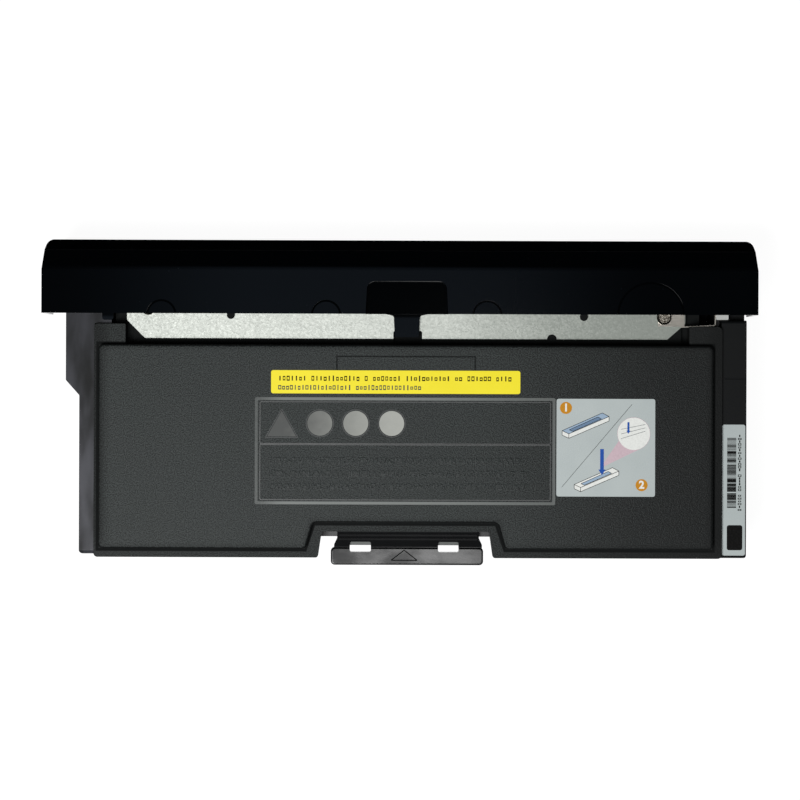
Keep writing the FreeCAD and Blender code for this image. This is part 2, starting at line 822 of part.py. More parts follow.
def pan_screw(head_radius, length):
    """Pan head screw that stands on its seat at the origin, with a cross recess in its head."""
    up = FreeCAD.Vector(0, 0, 1)
    rim = screw_head_height - screw_head_bevel
    crown = Part.makeCone(head_radius, head_radius - screw_head_bevel, screw_head_bevel,
                          FreeCAD.Vector(0, 0, rim), up)
    body = fuse_all([
        disc(head_radius, 0, 0, 0, rim), crown, disc(screw_pilot_radius, 0, 0, -length, 0)])
    arm = head_radius / 2
    width = head_radius / 10
    floor = screw_head_height - screw_recess_depth
    cross = fuse_all([
        box(-arm, arm, -width, width, floor, screw_head_height),
        box(-width, width, -arm, arm, floor, screw_head_height)])
    return body.cut(cross)


def screw_along_x(face, outward, y, z, length):
    """Screw whose head sits on the face and points outward along X."""
    screw = pan_screw(frame_head_radius, length)
    screw.rotate(FreeCAD.Vector(0, 0, 0), FreeCAD.Vector(0, 1, 0), 90 * outward)
    screw.translate(FreeCAD.Vector(face, y, z))
    return screw


def make_frame_screws():
    screws = []
    for y, z in end_screw_spots:
        screws.append(screw_along_x(left_screw_seat, -1, y, z, short_screw))
    screws.append(screw_along_x(left_frame_outer + thin_wall, -1, *left_front_screw, long_screw))
    for y, z in right_screw_spots:
        screws.append(screw_along_x(right_screw_seat, 1, y, z, short_screw))
    return Part.makeCompound(screws)


def make_bracket_screws():
    """One screw on the bracket itself and one on the contact strip's tab."""
    screws = []
    seats = (bracket_top, bracket_top + strip_thickness)
    for (x, y), seat in zip(screw_places, seats):
        screw = pan_screw(screw_head_radius, seat - front_rim + 4)
        screw.translate(FreeCAD.Vector(x, y, seat))
        screws.append(screw)
    return Part.makeCompound(screws)


def make_blade_bracket():
    """Sheet folded down at its front, with chamfered ends, peg holes and notches."""
    fold = [
        (bracket_rear, shelf_top, 0),
        (bracket_front - sheet, shelf_top, bend_radius),
        (bracket_front - sheet, bracket_fold_bottom, 0),
        (bracket_front, bracket_fold_bottom, 0),
        (bracket_front, bracket_top, bend_radius + sheet),
        (bracket_rear, bracket_top, 0),
    ]
    bracket = side_prism(fold, bracket_left, bracket_right)
    plan = [
        (bracket_left + bracket_chamfer, bracket_rear, bracket_corner),
        (bracket_right - bracket_chamfer, bracket_rear, bracket_corner),
        (bracket_right, bracket_rear + bracket_chamfer - bracket_corner, bracket_corner),
        (bracket_right, bracket_front, 0),
        (bracket_left, bracket_front, 0),
        (bracket_left, bracket_rear + bracket_chamfer, bracket_corner),
    ]
    bracket = bracket.common(plan_prism(plan, bracket_fold_bottom, bracket_top))
    cuts = [plan_plate(bracket_notch[0], bracket_notch[1], bracket_rear - 5, bracket_notch_front,
                       bracket_corner, shelf_top, bracket_top)]
    for x, y in peg_places:
        cuts.append(disc(peg_radius + running_clearance, x, y, shelf_top, bracket_top))
    for x, y in screw_places:
        cuts.append(disc(screw_shank_radius, x, y, shelf_top, bracket_top))
    cuts.append(disc(locating_notch_radius, locating_notch_x, bracket_rear, shelf_top, bracket_top))
    return bracket.cut(fuse_all(cuts))


def bead_centre():
    """Centre of the blade's rubber bead and its radius, just clear of the roller."""
    y = bracket_front + blade_sheet
    z = roller_z + roller_radius + blade_lift
    radius = math.hypot(y - roller_y, z - roller_z) - roller_radius - nip_gap
    return y, z, radius


def make_blade_sheet():
    y, z, radius = bead_centre()
    return box(sleeve_left - 1, sleeve_right + 1, bracket_front, bracket_front + blade_sheet,
               z - radius, bracket_top - sheet - 0.8)


def make_blade_bead():
    y, z, radius = bead_centre()
    bead = rod(radius, sleeve_left, sleeve_right, y, z)
    return bead.common(box(sleeve_left, sleeve_right, y, y + 5, z - 5, z + 5))


def make_blade_seal():
    """Foam strip between the bracket's fold and the lid's shelf."""
    start = screw_places[0][0] + front_boss_radius + seat_gap
    end = screw_places[1][0] - screw_boss_radius - seat_gap
    return box(start, end, shelf_front, bracket_front - sheet, front_rim - 1, shelf_top - bend_radius)


def make_contact_strip():
    """Thin strip: a tab under the screw, then on edge along the end to the grey block."""
    x, y = screw_places[1]
    top = bracket_top + strip_thickness
    rear = block_front - seat_gap
    run_start = bracket_right - 2
    inner = body_right - strip_corner_inset
    outer = inner + strip_thickness
    tab = box(x - strip_lap, bracket_right - 0.4, rear, y + 3.5, bracket_top, top)
    edge = plan_prism([
        (run_start, rear, 0), (inner, rear + 0.8, 0.7), (inner, roller_y - 4, 0),
        (outer, roller_y - 4, 0), (outer, rear + 0.3, 1.2), (run_start, rear - strip_thickness, 0),
    ], front_rim + 2.2, top)
    under_bracket = box(run_start - 1, bracket_right, rear - 2, y + 3.5, front_rim, bracket_top)
    strip = fuse_all([tab, edge.cut(under_bracket)])
    return strip.cut(disc(screw_shank_radius, x, y, bracket_top, top))


def make_electrode_block():
    left = body_right - strip_corner_inset + strip_thickness
    return plan_plate(left, left + electrode_block_width, right_shelf_front + seat_gap, roller_y, 0.5,
                      right_shelf_top, right_shelf_top + electrode_block_height)


def make_developer_shaft():
    core = rod(roller_shaft_radius, left_spacer[0], right_spacer[1], *developer_axis)
    journals = rod(journal_radius, outer_plane[0], right_frame_outer - 2, *developer_axis)
    return fuse_all([core, journals])


def make_developer_sleeve():
    sleeve = rod(roller_radius, sleeve_left, sleeve_right, *developer_axis)
    return sleeve.cut(rod(roller_shaft_radius, sleeve_left, sleeve_right, *developer_axis))


def make_spacer_rings():
    rings = []
    for x0, x1 in (left_spacer, right_spacer):
        ring = rod(spacer_radius, x0, x1, *developer_axis)
        rings.append(ring.cut(rod(roller_shaft_radius, x0, x1, *developer_axis)))
    return Part.makeCompound(rings)


def roller_bush(flange_left, boss_left, boss_right):
    flange = rod(bush_radius, flange_left, flange_left + bush_thickness, *developer_axis)
    boss = rod(bush_boss_radius, boss_left, boss_right, *developer_axis)
    low = min(flange_left, boss_left)
    high = max(flange_left + bush_thickness, boss_right)
    bore = rod(journal_radius + running_clearance, low, high, *developer_axis)
    return fuse_all([flange, boss]).cut(bore)


def make_left_bush():
    return roller_bush(left_bush_left, body_left, left_bush_left + 1)


def make_right_bush():
    return roller_bush(right_bush_left, right_bush_left + 1, body_right)


def make_supply_shaft():
    return rod(supply_shaft_radius, inner_plane[0], body_right, *supply_axis)


def make_supply_foam():
    foam = rod(supply_radius, sleeve_left + 1, sleeve_right - 1, *supply_axis)
    return foam.cut(rod(supply_shaft_radius, sleeve_left, sleeve_right, *supply_axis))


def make_supply_bushes():
    bushes = []
    for x0, x1 in ((body_left, cheek_left + 1), (cheek_right - 1, body_right)):
        ring = rod(supply_bush_radius, x0, x1, *supply_axis)
        bushes.append(ring.cut(rod(supply_shaft_radius + running_clearance, x0, x1, *supply_axis)))
    return Part.makeCompound(bushes)


def make_shaft_seals():
    """Foam rings round the supply shaft, outside the toner space."""
    seals = []
    for x0 in (inner_left - wall - shaft_seal_width, inner_right + wall):
        x1 = x0 + shaft_seal_width
        ring = rod(seal_ring_radius, x0, x1, *supply_axis)
        seals.append(ring.cut(rod(supply_shaft_radius + 0.1, x0, x1, *supply_axis)))
    return Part.makeCompound(seals)


def make_end_seals():
    """Foam arcs that the ends of the developer sleeve run against."""
    seals = []
    for x0, x1 in ((left_spacer[1] + seat_gap, sleeve_left + end_seal_lap),
                   (sleeve_right - end_seal_lap, right_spacer[0] - seat_gap)):
        ring = rod(lip_radius, x0, x1, *developer_axis)
        ring = ring.cut(rod(roller_radius + nip_gap, x0, x1, *developer_axis))
        ring = ring.common(box(x0, x1, roller_y - end_seal_behind, roller_y + end_seal_ahead,
                               0, roller_z))
        seals.append(ring)
    return seals


def make_lower_film():
    """Thin film on the lower lip that reaches up to the developer roller."""
    front = roller_y + lip_ahead
    lip_edge = roller_z - math.sqrt(lip_radius ** 2 - lip_ahead ** 2)
    return box(sleeve_left, sleeve_right, front, front + film_thickness,
               lip_edge - lower_film_lap, lip_edge + lower_film_rise)


def make_agitator(axis):
    """Moulded shaft with a flat rail that carries the film."""
    shaft = rod(agitator_shaft_radius, inner_plane[0], body_right, *axis)
    rail = box(cheek_left + 3, cheek_right - 3, axis[0] - rail_half_width,
               axis[0] + rail_half_width, axis[1], axis[1] + rail_height)
    return fuse_all([shaft, rail])


def make_agitator_film(axis):
    """Sheet on the rail, slit into flaps along its free edge."""
    face = axis[0] + rail_half_width
    left = cheek_left + 4
    right = cheek_right - 4
    reach = axis[1] + trough_radius - agitator_clearance
    film = box(left, right, face, face + film_thickness, axis[1] + rail_height / 2, reach)
    slits = []
    for index in range(1, flap_count):
        x = left + index * (right - left) / flap_count
        slits.append(box(x - flap_slit / 2, x + flap_slit / 2, face, face + film_thickness,
                         axis[1] + rail_height + 3, reach))
    return film.cut(fuse_all(slits))


def involute_point(base_radius, radius):
    """Angle swept by the involute from its base circle to the radius."""
    if radius <= base_radius:
        return 0.0
    turn = math.sqrt((radius / base_radius) ** 2 - 1)
    return turn - math.atan(turn)


def gear_blank(teeth, phase, centre, x0, x1):
    """Spur gear along X. phase is the angle of one tooth, from +Y towards +Z."""
    pitch_radius = gear_module * teeth / 2
    base_radius = pitch_radius * math.cos(math.radians(20))
    tip = pitch_radius + gear_addendum * gear_module
    root = pitch_radius - gear_dedendum * gear_module
    half_tooth = math.pi / (2 * teeth) - gear_backlash / (2 * pitch_radius)
    half_at_base = half_tooth + involute_point(base_radius, pitch_radius)
    radii = [root, max(root, base_radius), pitch_radius, tip]

    def at(radius, angle):
        return FreeCAD.Vector(x0, centre[0] + radius * math.cos(angle), centre[1] + radius * math.sin(angle))

    points = []
    for tooth in range(teeth):
        middle = phase + 2 * math.pi * tooth / teeth
        for radius in radii:
            points.append(at(radius, middle - half_at_base + involute_point(base_radius, radius)))
        for radius in reversed(radii):
            points.append(at(radius, middle + half_at_base - involute_point(base_radius, radius)))
    outline = [points[0]]
    for point in points[1:]:
        if point.distanceToPoint(outline[-1]) > 1e-4:
            outline.append(point)
    face = Part.Face(Part.makePolygon(outline + [outline[0]]))
    return face.extrude(FreeCAD.Vector(x1 - x0, 0, 0))


def meshing_phase(first_teeth, first_phase, first_axis, second_teeth, second_axis):
    """Phase of the second gear that puts its gap over the first gear's tooth."""
    line = math.atan2(second_axis[1] - first_axis[1], second_axis[0] - first_axis[0])
    offset = (first_phase - line) * first_teeth / (2 * math.pi)
    return line + math.pi + (0.5 - offset) * 2 * math.pi / second_teeth


drive_phase = 0.0
developer_phase = meshing_phase(drive_outer_teeth, drive_phase, drive_axis, developer_teeth, developer_axis)
supply_phase = meshing_phase(drive_inner_teeth, drive_phase, drive_axis, supply_teeth, supply_axis)
front_phase = meshing_phase(drive_inner_teeth, drive_phase, drive_axis, agitator_teeth, front_axis)
idler_phase = meshing_phase(agitator_teeth, front_phase, front_axis, idler_teeth, idler_axis)
rear_phase = meshing_phase(idler_teeth, idler_phase, idler_axis, agitator_teeth, rear_axis)


def make_developer_gear():
    gear = gear_blank(developer_teeth, developer_phase, developer_axis, *outer_plane)
    gear = gear.cut(rod(journal_radius, outer_plane[0], outer_plane[1], *developer_axis))
    return gear.cut(face_pocket(developer_teeth, journal_radius, outer_plane[0], developer_axis))


def face_pocket(teeth, bore_radius, face, axis):
    """Ring cut into a gear's outer face, which leaves a hub and a toothed rim."""
    rim = gear_module * (teeth / 2 - gear_dedendum) - thin_wall
    pocket = rod(rim, face, face + gear_pocket, *axis)
    return pocket.cut(rod(bore_radius + wall, face, face + gear_pocket, *axis))


def make_drive_gear():
    """Two tier gear with the driven stub and its dogs on the outer face."""
    outer = gear_blank(drive_outer_teeth, drive_phase, drive_axis, *outer_plane)
    inner = gear_blank(drive_inner_teeth, drive_phase, drive_axis, *inner_plane)
    hub = rod(gear_hub_radius, outer_plane[0], inner_plane[1], *drive_axis)
    stub = rod(drive_stub_radius, drive_stub_end, outer_plane[0], *drive_axis)
    y, z = drive_axis
    dogs = box(outer_plane[0] - drive_dog_height, outer_plane[0],
               y - drive_dog_reach, y + drive_dog_reach,
               z - drive_dog_half_width, z + drive_dog_half_width)
    bore = rod(post_radius + running_clearance, outer_plane[0] + gear_pocket, inner_plane[1],
               *drive_axis)
    return fuse_all([outer, inner, hub, stub, dogs]).cut(bore)


def shaft_gear(teeth, phase, axis, bore_radius):
    gear = gear_blank(teeth, phase, axis, *inner_plane)
    return gear.cut(rod(bore_radius, inner_plane[0], inner_plane[1], *axis))


def agitator_gear(phase, axis):
    gear = shaft_gear(agitator_teeth, phase, axis, agitator_shaft_radius)
    return gear.cut(face_pocket(agitator_teeth, agitator_shaft_radius, inner_plane[0], axis))


def make_grip_handle():
    """Root plate in the base's recess, ribbed neck, and grip plate with two slots."""
    top = handle_floor + handle_thickness
    shoulder = grip_front + 1.3
    root = plan_prism([
        (neck_left, recess_front - 0.2, 0.5), (neck_left, shoulder + 3, 1),
        (neck_left - neck_flare, shoulder, 1), (neck_left - neck_flare, grip_front - 1, 0),
        (neck_right + neck_flare, grip_front - 1, 0), (neck_right + neck_flare, shoulder, 1),
        (neck_right, shoulder + 3, 1), (neck_right, recess_front - 0.2, 0.5)],
        handle_floor, top)
    grip = plan_plate(grip_left, grip_right, grip_rear, grip_front, 1.8,
                      handle_floor - grip_rise, top + grip_rise)
    grip = fillet_where(grip, grip_edge, edges_at_height(top + grip_rise))
    ribs = []
    for index in range(neck_rib_count):
        y = notch_front - neck_rib_inset - neck_rib_pitch * index
        ribs.append(box(neck_left + 0.8, neck_right - 0.8, y - 0.4, y + 0.4, top, top + 0.5))
    handle = fuse_all([root, grip] + ribs)
    slots = [plan_plate(x0, x1, slot_rear, slot_front, 0.8, handle_floor - 1, top + 2)
             for x0, x1 in handle_slots]
    return handle.cut(fuse_all(slots))


def cover_side(inset):
    """Side view of the cover's sloped skin. It is open below and behind."""
    slope = cover_knee_drop / (cover_knee - cover_crease)
    return [
        (cover_rear - 1, cover_top - inset, 0),
        (cover_crease - 0.3 * inset, cover_top - inset, 1.0),
        (cover_knee - (0.3 + slope) * inset, cover_top - cover_knee_drop - inset, 1.0),
        (cover_front - inset, cover_top - cover_brow_drop - 0.5 * inset, 3.0 - 0.5 * inset),
        (cover_front - inset, cover_bottom, 0),
        (cover_rear - 1, cover_bottom, 0),
    ]


def cover_plan(inset, rear):
    half = cover_half_length - inset
    corner = cover_corner - inset / 2
    return [
        (-half, rear, 0), (half, rear, 0), (half, cover_crease, 0),
        (half - cover_end_taper, cover_front - inset, corner),
        (-half + cover_end_taper, cover_front - inset, corner),
        (-half, cover_crease, 0),
    ]


def make_protective_cover():
    half = cover_half_length
    outer = side_prism(cover_side(0), -half, half)
    outer = outer.common(plan_prism(cover_plan(0, cover_rear), cover_bottom, cover_top))
    inner = side_prism(cover_side(cover_wall), -half, half)
    inner = inner.common(plan_prism(cover_plan(cover_wall, cover_rear - 1), cover_bottom, cover_top))
    step = box(-half, half, cover_rear, cover_rear + cover_step_depth, cover_bottom, cover_step_top)
    cover = outer.cut(inner).cut(step)
    recess_floor = cover_top - thumb_depth
    pan_bottom = recess_floor - cover_wall + 0.1
    pan = thumb_pan(0, cover_rear, pan_bottom, cover_top)
    cover = fuse_all([cover, pan])
    cover = cover.cut(thumb_pan(cover_wall, cover_rear - 1, recess_floor, cover_top + 1))
    tab = plan_plate(cover_tab_left, cover_tab_left + cover_tab_width, cover_rear - cover_tab_length,
                     cover_rear + cover_wall, 1.2, cover_top - cover_wall, cover_top)
    cover = fuse_all([cover, tab] + latch_tongue(pan_bottom))
    marks = []
    for x, radius in cover_marks:
        floor = cover_top - mark_depth
        ring = disc(radius, x, cover_rear - 0.5, floor, cover_top)
        marks.append(ring.cut(disc(radius - mark_width, x, cover_rear - 0.5, floor, cover_top)))
    return cover.cut(fuse_all(marks))


def latch_tongue(bottom):
    """Tongue that reaches back over the bracket, with a hook behind the bracket's notch."""
    plate = plan_prism([
        (tongue_left - 6, cover_rear + 0.5, 0), (tongue_left - 0.4, cover_rear - 0.8, 1.2),
        (tongue_left, tongue_rear, 0.6), (tongue_right, tongue_rear, 0.6),
        (tongue_right + 0.4, cover_rear - 0.8, 1.2), (tongue_right + 6, cover_rear + 0.5, 0)],
        bottom, bottom + tongue_thickness)
    hook = box(tongue_left + 0.4, tongue_right - 0.4, tongue_rear, tongue_rear + hook_length,
               shelf_floor + 0.5, bottom + tongue_thickness / 2)
    return [plate, hook]


def thumb_pan(inset, rear, z0, z1):
    """Block of the thumb recess, narrower towards its front."""
    return plan_prism([
        (thumb_left - cover_wall + inset, rear, 0), (thumb_right + cover_wall - inset, rear, 0),
        (thumb_right + cover_wall - inset - 0.8, thumb_front + cover_wall - inset, 3.6),
        (thumb_left - cover_wall + inset + 0.8, thumb_front + cover_wall - inset, 3.6)], z0, z1)


def make_label(limits, seat):
    x0, x1, y0, y1 = limits
    return plan_plate(x0, x1, y0, y1, 1.0, seat, seat + label_thickness)


parts = {
    "hopper_base": make_hopper_base(),
    "hopper_lid": make_hopper_lid(),
    "left_end_frame": make_left_frame(),
    "right_end_frame": make_right_frame(),
    "frame_screws": make_frame_screws(),
    "fill_cap": make_fill_cap(),
    "blade_bracket": make_blade_bracket(),
    "blade_spring_sheet": make_blade_sheet(),
    "blade_rubber_bead": make_blade_bead(),
    "blade_foam_seal": make_blade_seal(),
    "bracket_screws": make_bracket_screws(),
    "contact_strip": make_contact_strip(),
    "electrode_block": make_electrode_block(),
    "developer_shaft": make_developer_shaft(),
    "developer_sleeve": make_developer_sleeve(),
    "spacer_rings": make_spacer_rings(),
    "left_roller_bush": make_left_bush(),
    "right_roller_bush": make_right_bush(),
    "supply_shaft": make_supply_shaft(),
    "supply_foam": make_supply_foam(),
    "supply_bushes": make_supply_bushes(),
    "shaft_seals": make_shaft_seals(),
    "end_seals": Part.makeCompound(make_end_seals()),
    "lower_seal_film": make_lower_film(),
    "front_agitator": make_agitator(front_axis),
    "front_agitator_film": make_agitator_film(front_axis),
    "rear_agitator": make_agitator(rear_axis),
    "rear_agitator_film": make_agitator_film(rear_axis),
    "developer_gear": make_developer_gear(),
    "drive_gear": make_drive_gear(),
    "supply_gear": shaft_gear(supply_teeth, supply_phase, supply_axis, supply_shaft_radius),
    "front_agitator_gear": agitator_gear(front_phase, front_axis),
    "idler_gear": shaft_gear(idler_teeth, idler_phase, idler_axis, post_radius + running_clearance),
    "rear_agitator_gear": agitator_gear(rear_phase, rear_axis),
    "grip_handle": make_grip_handle(),
    "protective_cover": make_protective_cover(),
    "yellow_label": make_label(yellow_label, panel_top),
    "steps_label": make_label(steps_label, panel_top),
    "serial_label": make_label(serial_label, frame_top),
}

os.makedirs("parts", exist_ok=True)
for name, shape in parts.items():
    shape.exportStep("parts/" + name + ".step")
    print(name, round(shape.Volume), "mm3", len(shape.Solids), "solids", "valid" if shape.isValid() else "INVALID")
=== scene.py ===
import bmesh
import bpy
import math
from mathutils import Matrix, Vector


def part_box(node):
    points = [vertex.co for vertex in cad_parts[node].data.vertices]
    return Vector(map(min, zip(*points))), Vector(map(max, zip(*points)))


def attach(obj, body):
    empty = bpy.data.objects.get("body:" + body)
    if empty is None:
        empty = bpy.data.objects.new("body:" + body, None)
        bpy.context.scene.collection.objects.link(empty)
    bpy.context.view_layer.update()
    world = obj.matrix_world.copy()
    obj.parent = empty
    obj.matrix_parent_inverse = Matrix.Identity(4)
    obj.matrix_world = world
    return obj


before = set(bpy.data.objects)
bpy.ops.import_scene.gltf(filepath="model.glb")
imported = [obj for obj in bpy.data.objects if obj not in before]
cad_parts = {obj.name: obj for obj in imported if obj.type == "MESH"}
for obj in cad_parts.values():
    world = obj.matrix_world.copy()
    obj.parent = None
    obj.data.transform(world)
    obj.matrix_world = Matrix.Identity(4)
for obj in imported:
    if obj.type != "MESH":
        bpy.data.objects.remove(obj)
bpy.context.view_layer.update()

# Hopper base and its fill cap: the black tub that holds the toner, with a trough for each stirrer.
# It is injection moulded in styrene with a plain satin surface, and the cap is pressed into its end.


class Reading:
    """What a node socket gives at each point. Sums and products of it add their Math nodes."""

    def __init__(self, board, socket):
        self.board = board
        self.socket = socket

    def maths(self, operation, first, second=0.0):
        return self.board.node("ShaderNodeMath", {"operation": operation}, {0: first, 1: second})

    def __add__(self, other):
        return self.maths("ADD", self, other)

    def __radd__(self, other):
        return self.maths("ADD", other, self)

    def __sub__(self, other):
        return self.maths("SUBTRACT", self, other)

    def __rsub__(self, other):
        return self.maths("SUBTRACT", other, self)

    def __mul__(self, other):
        return self.maths("MULTIPLY", self, other)

    def __rmul__(self, other):
        return self.maths("MULTIPLY", other, self)

    def __gt__(self, other):
        return self.maths("GREATER_THAN", self, other)

    def __abs__(self):
        return self.maths("ABSOLUTE", self)

    def fraction(self):
        return self.maths("FRACT", self)

    def larger(self, other):
        return self.maths("MAXIMUM", self, other)

    def out(self, name):
        """Another output of the same node."""
        return Reading(self.board, self.socket.node.outputs[name])

    def ramp(self, low, high, start=0.0, end=1.0):
        """Goes smoothly from start to end while the reading goes from low to high."""
        sockets = {"Value": self, "From Min": low, "From Max": high, "To Min": start, "To Max": end}
        return self.board.node("ShaderNodeMapRange", {"interpolation_type": "SMOOTHSTEP"}, sockets)

    def between(self, low, high, soft):
        """1 from low to high and 0 outside, with soft edges."""
        rise = self.ramp(low - soft, low + soft)
        return rise * self.ramp(high - soft, high + soft, 1.0, 0.0)


class Board:
    """A node tree that is being wired, for a surface or for a shape."""

    def __init__(self, tree):
        self.tree = tree

    def feed(self, socket, value):
        if isinstance(value, Reading):
            self.tree.links.new(value.socket, socket)
        else:
            socket.default_value = value

    def node(self, kind, settings=None, sockets=None, output=0):
        """Adds one node: its settings first, then the values or links of its sockets."""
        made = self.tree.nodes.new(kind)
        for name, value in (settings or {}).items():
            setattr(made, name, value)
        for name, value in (sockets or {}).items():
            self.feed(made.inputs[name], value)
        return Reading(self, made.outputs[output])


class Finish(Board):
    """The surface of one kind of piece, ended by a single shader."""

    def __init__(self, name):
        self.material = bpy.data.materials.new(name)
        self.material.use_nodes = True
        super().__init__(self.material.node_tree)
        self.shader = self.tree.nodes["Principled BSDF"]
        self.place = self.node("ShaderNodeTexCoord", output="Object")

    def noise(self, size, detail=2.0, stretch=(1.0, 1.0, 1.0)):
        """Noise whose blots are about size metres across."""
        sockets = {0: self.place, 1: stretch}
        spread = self.node("ShaderNodeVectorMath", {"operation": "MULTIPLY"}, sockets)
        return self.node("ShaderNodeTexNoise", None, {"Vector": spread, "Scale": 1 / size, "Detail": detail})

    def cells(self, size, output="Color"):
        sockets = {"Vector": self.place, "Scale": 1 / size}
        return self.node("ShaderNodeTexVoronoi", {"feature": "F1"}, sockets, output)

    def spot(self):
        """The three coordinates of the point, in metres."""
        split = self.node("ShaderNodeSeparateXYZ", None, {0: self.place})
        return split.out("X"), split.out("Y"), split.out("Z")

    def blend(self, share, first, second):
        return self.node("ShaderNodeMix", {"data_type": "RGBA"}, {0: share, 6: first, 7: second}, 2)

    def relief(self, height, depth, strength=1.0):
        """Bumps as tall as depth metres where height is 1."""
        return self.node("ShaderNodeBump", None, {"Strength": strength, "Distance": depth, "Height": height})

    def wear(self, **channels):
        """Sets or links the shader's sockets, named with underscores for their spaces."""
        for name, value in channels.items():
            self.feed(self.shader.inputs[name.replace("_", " ")], value)


def ink(red, green, blue):
    """A colour as a paint card gives it, 0 to 255, turned to light."""
    parts = []
    for part in (red, green, blue):
        share = part / 255
        parts.append(share / 12.92 if share <= 0.04045 else ((share + 0.055) / 1.055) ** 2.4)
    return (*parts, 1.0)


def dress(finish, *nodes):
    for name in nodes:
        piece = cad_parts[name]
        if piece.material_slots:
            piece.material_slots[0].material = finish.material
        else:
            piece.data.materials.append(finish.material)


def moulded(name, dark, light, roughness, specular, grain=0.0007, depth=0.00002):
    """Moulded plastic: a fine mould grain, with faint cloudy flow marks."""
    finish = Finish(name)
    cloud = finish.noise(0.05, 3.0, (1.0, 0.5, 1.0))
    pits = finish.noise(grain, 2.0)
    finish.wear(
        Base_Color=finish.blend(cloud.ramp(0.3, 0.7), dark, light),
        Roughness=(cloud - 0.5) * 0.12 + roughness,
        Normal=finish.relief(pits, depth),
        Specular_IOR_Level=specular,
    )
    return finish


tub_plastic = moulded("tub_plastic", ink(22, 23, 25), ink(30, 31, 33), roughness=0.42, specular=0.35)
dress(tub_plastic, "hopper_base", "fill_cap")

# Stirrers: a moulded rod through each trough, with a clear film that sweeps the toner round.
# The film is punched from polyester sheet and heat staked to a flat rail on the rod, and the film
# that seals the developer roller from below is cut from the same sheet.
rod_plastic = moulded("rod_plastic", ink(34, 34, 36), ink(44, 44, 46), roughness=0.5, specular=0.3)
dress(rod_plastic, "front_agitator", "rear_agitator")
clear_film = Finish("clear_film")
film_haze = clear_film.noise(0.01, 2.0)
clear_film.wear(
    Base_Color=clear_film.blend(film_haze, ink(150, 152, 150), ink(176, 178, 176)),
    Roughness=film_haze * 0.15 + 0.12,
    IOR=1.6,
)
dress(clear_film, "front_agitator_film", "rear_agitator_film", "lower_seal_film")

# Supply roller, end seals and blade seal: grey open-cell foam, moulded on a steel shaft or cut from sheet.
# The seals are stuck in place and keep the toner off the bearings.
foam = Finish("foam")
foam_cells = foam.cells(0.0006, "Distance")
foam_tone = foam.noise(0.004)
foam.wear(
    Base_Color=foam.blend(foam_cells.ramp(0.1, 0.6), ink(38, 38, 40), ink(84, 84, 86)),
    Roughness=foam_tone * 0.1 + 0.88,
    Normal=foam.relief(foam_cells, 0.0003),
    Specular_IOR_Level=0.1,
)
dress(foam, "supply_foam", "shaft_seals", "end_seals", "blade_foam_seal")

# Developer roller: black conductive rubber ground to size on a steel shaft, with a grey ring at each end.
# The shafts are drawn steel, turned down to journals that run in black acetal bushes, and the rings and
# the electrode block at the right end are moulded in grey acetal.
roller_rubber = Finish("roller_rubber")
rubber_lay = roller_rubber.noise(0.0009, 3.0, (0.25, 1.0, 1.0))
roller_rubber.wear(
    Base_Color=roller_rubber.blend(rubber_lay, ink(30, 30, 31), ink(48, 48, 49)),
    Roughness=rubber_lay * 0.15 + 0.55,
    Normal=roller_rubber.relief(rubber_lay, 0.00003),
)
dress(roller_rubber, "developer_sleeve")
ground_steel = Finish("ground_steel")
turning_marks = ground_steel.noise(0.0004, 2.0, (1.0, 0.1, 0.1))
ground_steel.wear(
    Base_Color=ground_steel.blend(turning_marks, ink(150, 151, 152), ink(198, 198, 197)),
    Roughness=turning_marks * 0.15 + 0.2,
    Metallic=1.0,
    Normal=ground_steel.relief(turning_marks, 0.00001),
)
dress(ground_steel, "developer_shaft", "supply_shaft")
grey_acetal = moulded("grey_acetal", ink(176, 178, 176), ink(198, 200, 198), roughness=0.35, specular=0.5,
                      grain=0.0012, depth=0.00001)
dress(grey_acetal, "spacer_rings", "electrode_block")
black_acetal = moulded("black_acetal", ink(10, 10, 11), ink(18, 18, 20), roughness=0.18, specular=0.5,
                       grain=0.002, depth=0.00001)
dress(black_acetal, "left_roller_bush", "right_roller_bush", "supply_bushes")

# Gear train: six natural acetal gears, moulded, with a smear of grease along their teeth.
# The drive and idler gears turn on posts of the end wall, and the other four are pressed on their shafts.
gear_acetal = Finish("gear_acetal")
grease = gear_acetal.noise(0.006, 3.0).ramp(0.5, 0.62)
mould_flow = gear_acetal.noise(0.012, 2.0)
gear_acetal.wear(
    Base_Color=gear_acetal.blend(mould_flow, ink(206, 205, 198), ink(224, 223, 217)),
    Roughness=0.42 - grease * 0.22,
    Normal=gear_acetal.relief(grease, 0.00004),
    Subsurface_Weight=0.1,
    Subsurface_Scale=0.002,
)
dress(gear_acetal, "developer_gear", "drive_gear", "supply_gear", "front_agitator_gear",
      "idler_gear", "rear_agitator_gear")

# End frames: two hollow moulded covers that carry the cartridge in its bay, each held by pan head screws.
# Smooth plastic with cloudy handling smudges and a painted sheen; the right one has a fine witness line.
WITNESS_REAR = 0.0110
WITNESS_FRONT = 0.0114
RIGHT_FRAME_LEFT = 0.1465
frame_plastic = Finish("frame_plastic")
frame_x, frame_y = frame_plastic.spot()[:2]
rubbed = frame_plastic.noise(0.024, 3.0, (2.0, 0.6, 1.0)).ramp(0.3, 0.62)
frame_grain = frame_plastic.noise(0.0012, 2.0)
witness_line = frame_y.between(WITNESS_REAR, WITNESS_FRONT, 0.0002) * (frame_x > RIGHT_FRAME_LEFT)
